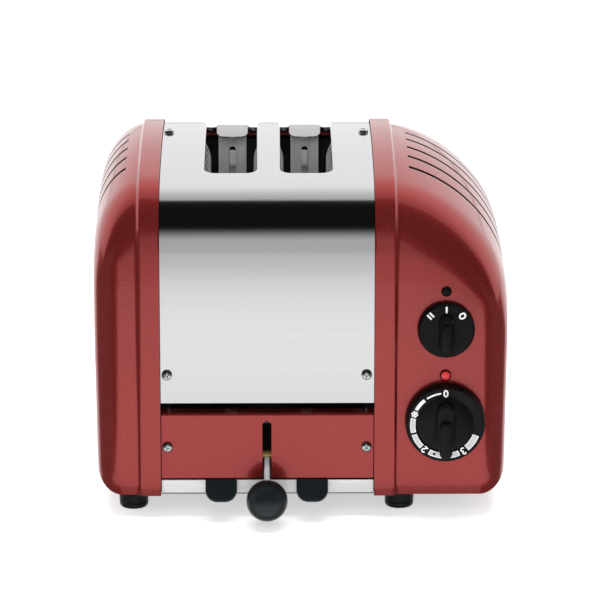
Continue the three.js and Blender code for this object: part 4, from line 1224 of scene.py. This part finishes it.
# ---- stage, light and camera
def studio_world():
    """A pale studio: bright overhead and behind, a lit patch low in front, dark beside it."""
    world = bpy.data.worlds.new("studio")
    bpy.context.scene.world = world
    world.use_nodes = True
    tree = world.node_tree
    x, y, z = axes_of(tree, "Generated")

    def maths(operation, first, second):
        return add(tree, "Math", {0: first, 1: second}, operation=operation).outputs["Value"]

    def plus(first, second):
        return maths("ADD", first, second)

    def times(first, second):
        return maths("MULTIPLY", first, second)

    def rise(value, start, end):
        return between(tree, value, 0, 1, start, end, interpolation_type="SMOOTHSTEP")

    def turn_rise(value, start, end):
        return rise(value, radians(start), radians(end))

    def fall_of(share):
        return maths("SUBTRACT", 1.0, share)

    ahead = times(y, -1.0)
    over = maths("ARCTAN2", z, ahead)          # 0 at the front horizon, 90 degrees overhead
    aside = add(tree, "Math", {0: maths("ARCTAN2", x, ahead)}, operation="ABSOLUTE").outputs[0]
    low = fall_of(turn_rise(over, 8, 34))
    patch = times(low, fall_of(turn_rise(aside, 7, 10)))
    sides = times(low, turn_rise(aside, 22, 45))
    sky = times(turn_rise(over, 85, 88), plus(0.55, times(0.46, turn_rise(over, 89, 124))))
    below = times(rise(y, 0.42, 0.65), fall_of(rise(z, -0.05, 0.02)))
    light = plus(plus(times(patch, 0.52), times(sides, 0.13)), plus(sky, below))
    feed(tree, tree.nodes["Background"], {"Strength": plus(light, 0.006),
                                          "Color": (1.0, 0.99, 0.99, 1)})


def stage_sheet(name, x0, x1, y0, y1, z):
    mesh = bpy.data.meshes.new(name)
    mesh.from_pydata([(x0, y0, z), (x1, y0, z), (x1, y1, z), (x0, y1, z)], [], [(0, 1, 2, 3)])
    ob = add_object(name, mesh)
    material, tree, shader = new_material(name)
    mesh.materials.append(material)
    return ob, tree, shader


CARD_WIDTH = 0.33
CARD_FAR = 1.5
CARD_TONES = [(0.0, 0.94), (0.14, 0.99), (0.20, 1.06), (0.266, 1.06), (0.296, 0.99),
              (0.324, 0.84), (0.343, 0.68), (0.446, 0.58), (1.0, 0.50)]


def front_card():
    """A lit card on the table in front, seen only in reflections, which fades with distance."""
    front, side = CAD_BOX[0].y, CARD_WIDTH / 2
    ob, tree, shader = stage_sheet("front_card", -side, side, front, front - CARD_FAR, 0.0005)
    tree.nodes.remove(shader)
    away = between(tree, axes_of(tree)["Y"], 1.0, 0.0, front - CARD_FAR, front)
    tone = ramp(tree, away, *((place, (tone, tone, tone)) for place, tone in CARD_TONES))
    glow = add(tree, "Emission", {"Color": tone}).outputs["Emission"]
    feed(tree, tree.nodes["Material Output"], {"Surface": glow})
    for ray in ("camera", "diffuse", "transmission", "shadow"):
        setattr(ob, f"visible_{ray}", False)


FLOOR_REACH = 30.0


def floor():
    reach = FLOOR_REACH
    ob, tree, shader = stage_sheet("floor", -reach, reach, -reach, reach, 0)
    feed(tree, shader, {"Base Color": (0.86, 0.86, 0.86, 1), "Roughness": 0.9,
                        "Specular IOR Level": 0.0, "Emission Color": (1, 1, 1, 1),
                        "Emission Strength": 0.55})
    ob.visible_glossy = False


def aimed(name, data, place, along):
    ob = add_object(name, data)
    ob.location = place
    ob.rotation_mode = "QUATERNION"
    ob.rotation_quaternion = along.to_track_quat("-Z", "Y")
    return ob


LIT_PLACE = Vector((0, 0, 0.1))


def area_light(name, place, size, watts):
    data = bpy.data.lights.new(name, "AREA")
    data.size = size
    data.energy = watts
    aimed(name, data, place, LIT_PLACE - Vector(place)).visible_glossy = False


ELEVATION = radians(17.5)
AZIMUTH = radians(-0.43)
DISTANCE = 2.7254
LENS = 252
AIM_RISE = 1.6


def camera():
    target = Vector((0, MIDDLE_Y * MM, (HEIGHT / 2 + AIM_RISE) * MM))
    level = cos(ELEVATION)
    back = Vector((sin(AZIMUTH) * level, -cos(AZIMUTH) * level, sin(ELEVATION)))
    data = bpy.data.cameras.new("camera")
    data.sensor_width = 36
    data.lens = LENS
    data.clip_start = 0.1
    data.clip_end = 200
    bpy.context.scene.camera = aimed("camera", data, target + back * DISTANCE, -back)


studio_world()
front_card()
floor()
area_light("key", (-0.15, -1.7, 1.1), 1.5, 18)
area_light("overhead", (0, 0.1, 1.8), 1.4, 34)
camera()
bpy.context.scene.view_settings.view_transform = "Standard"
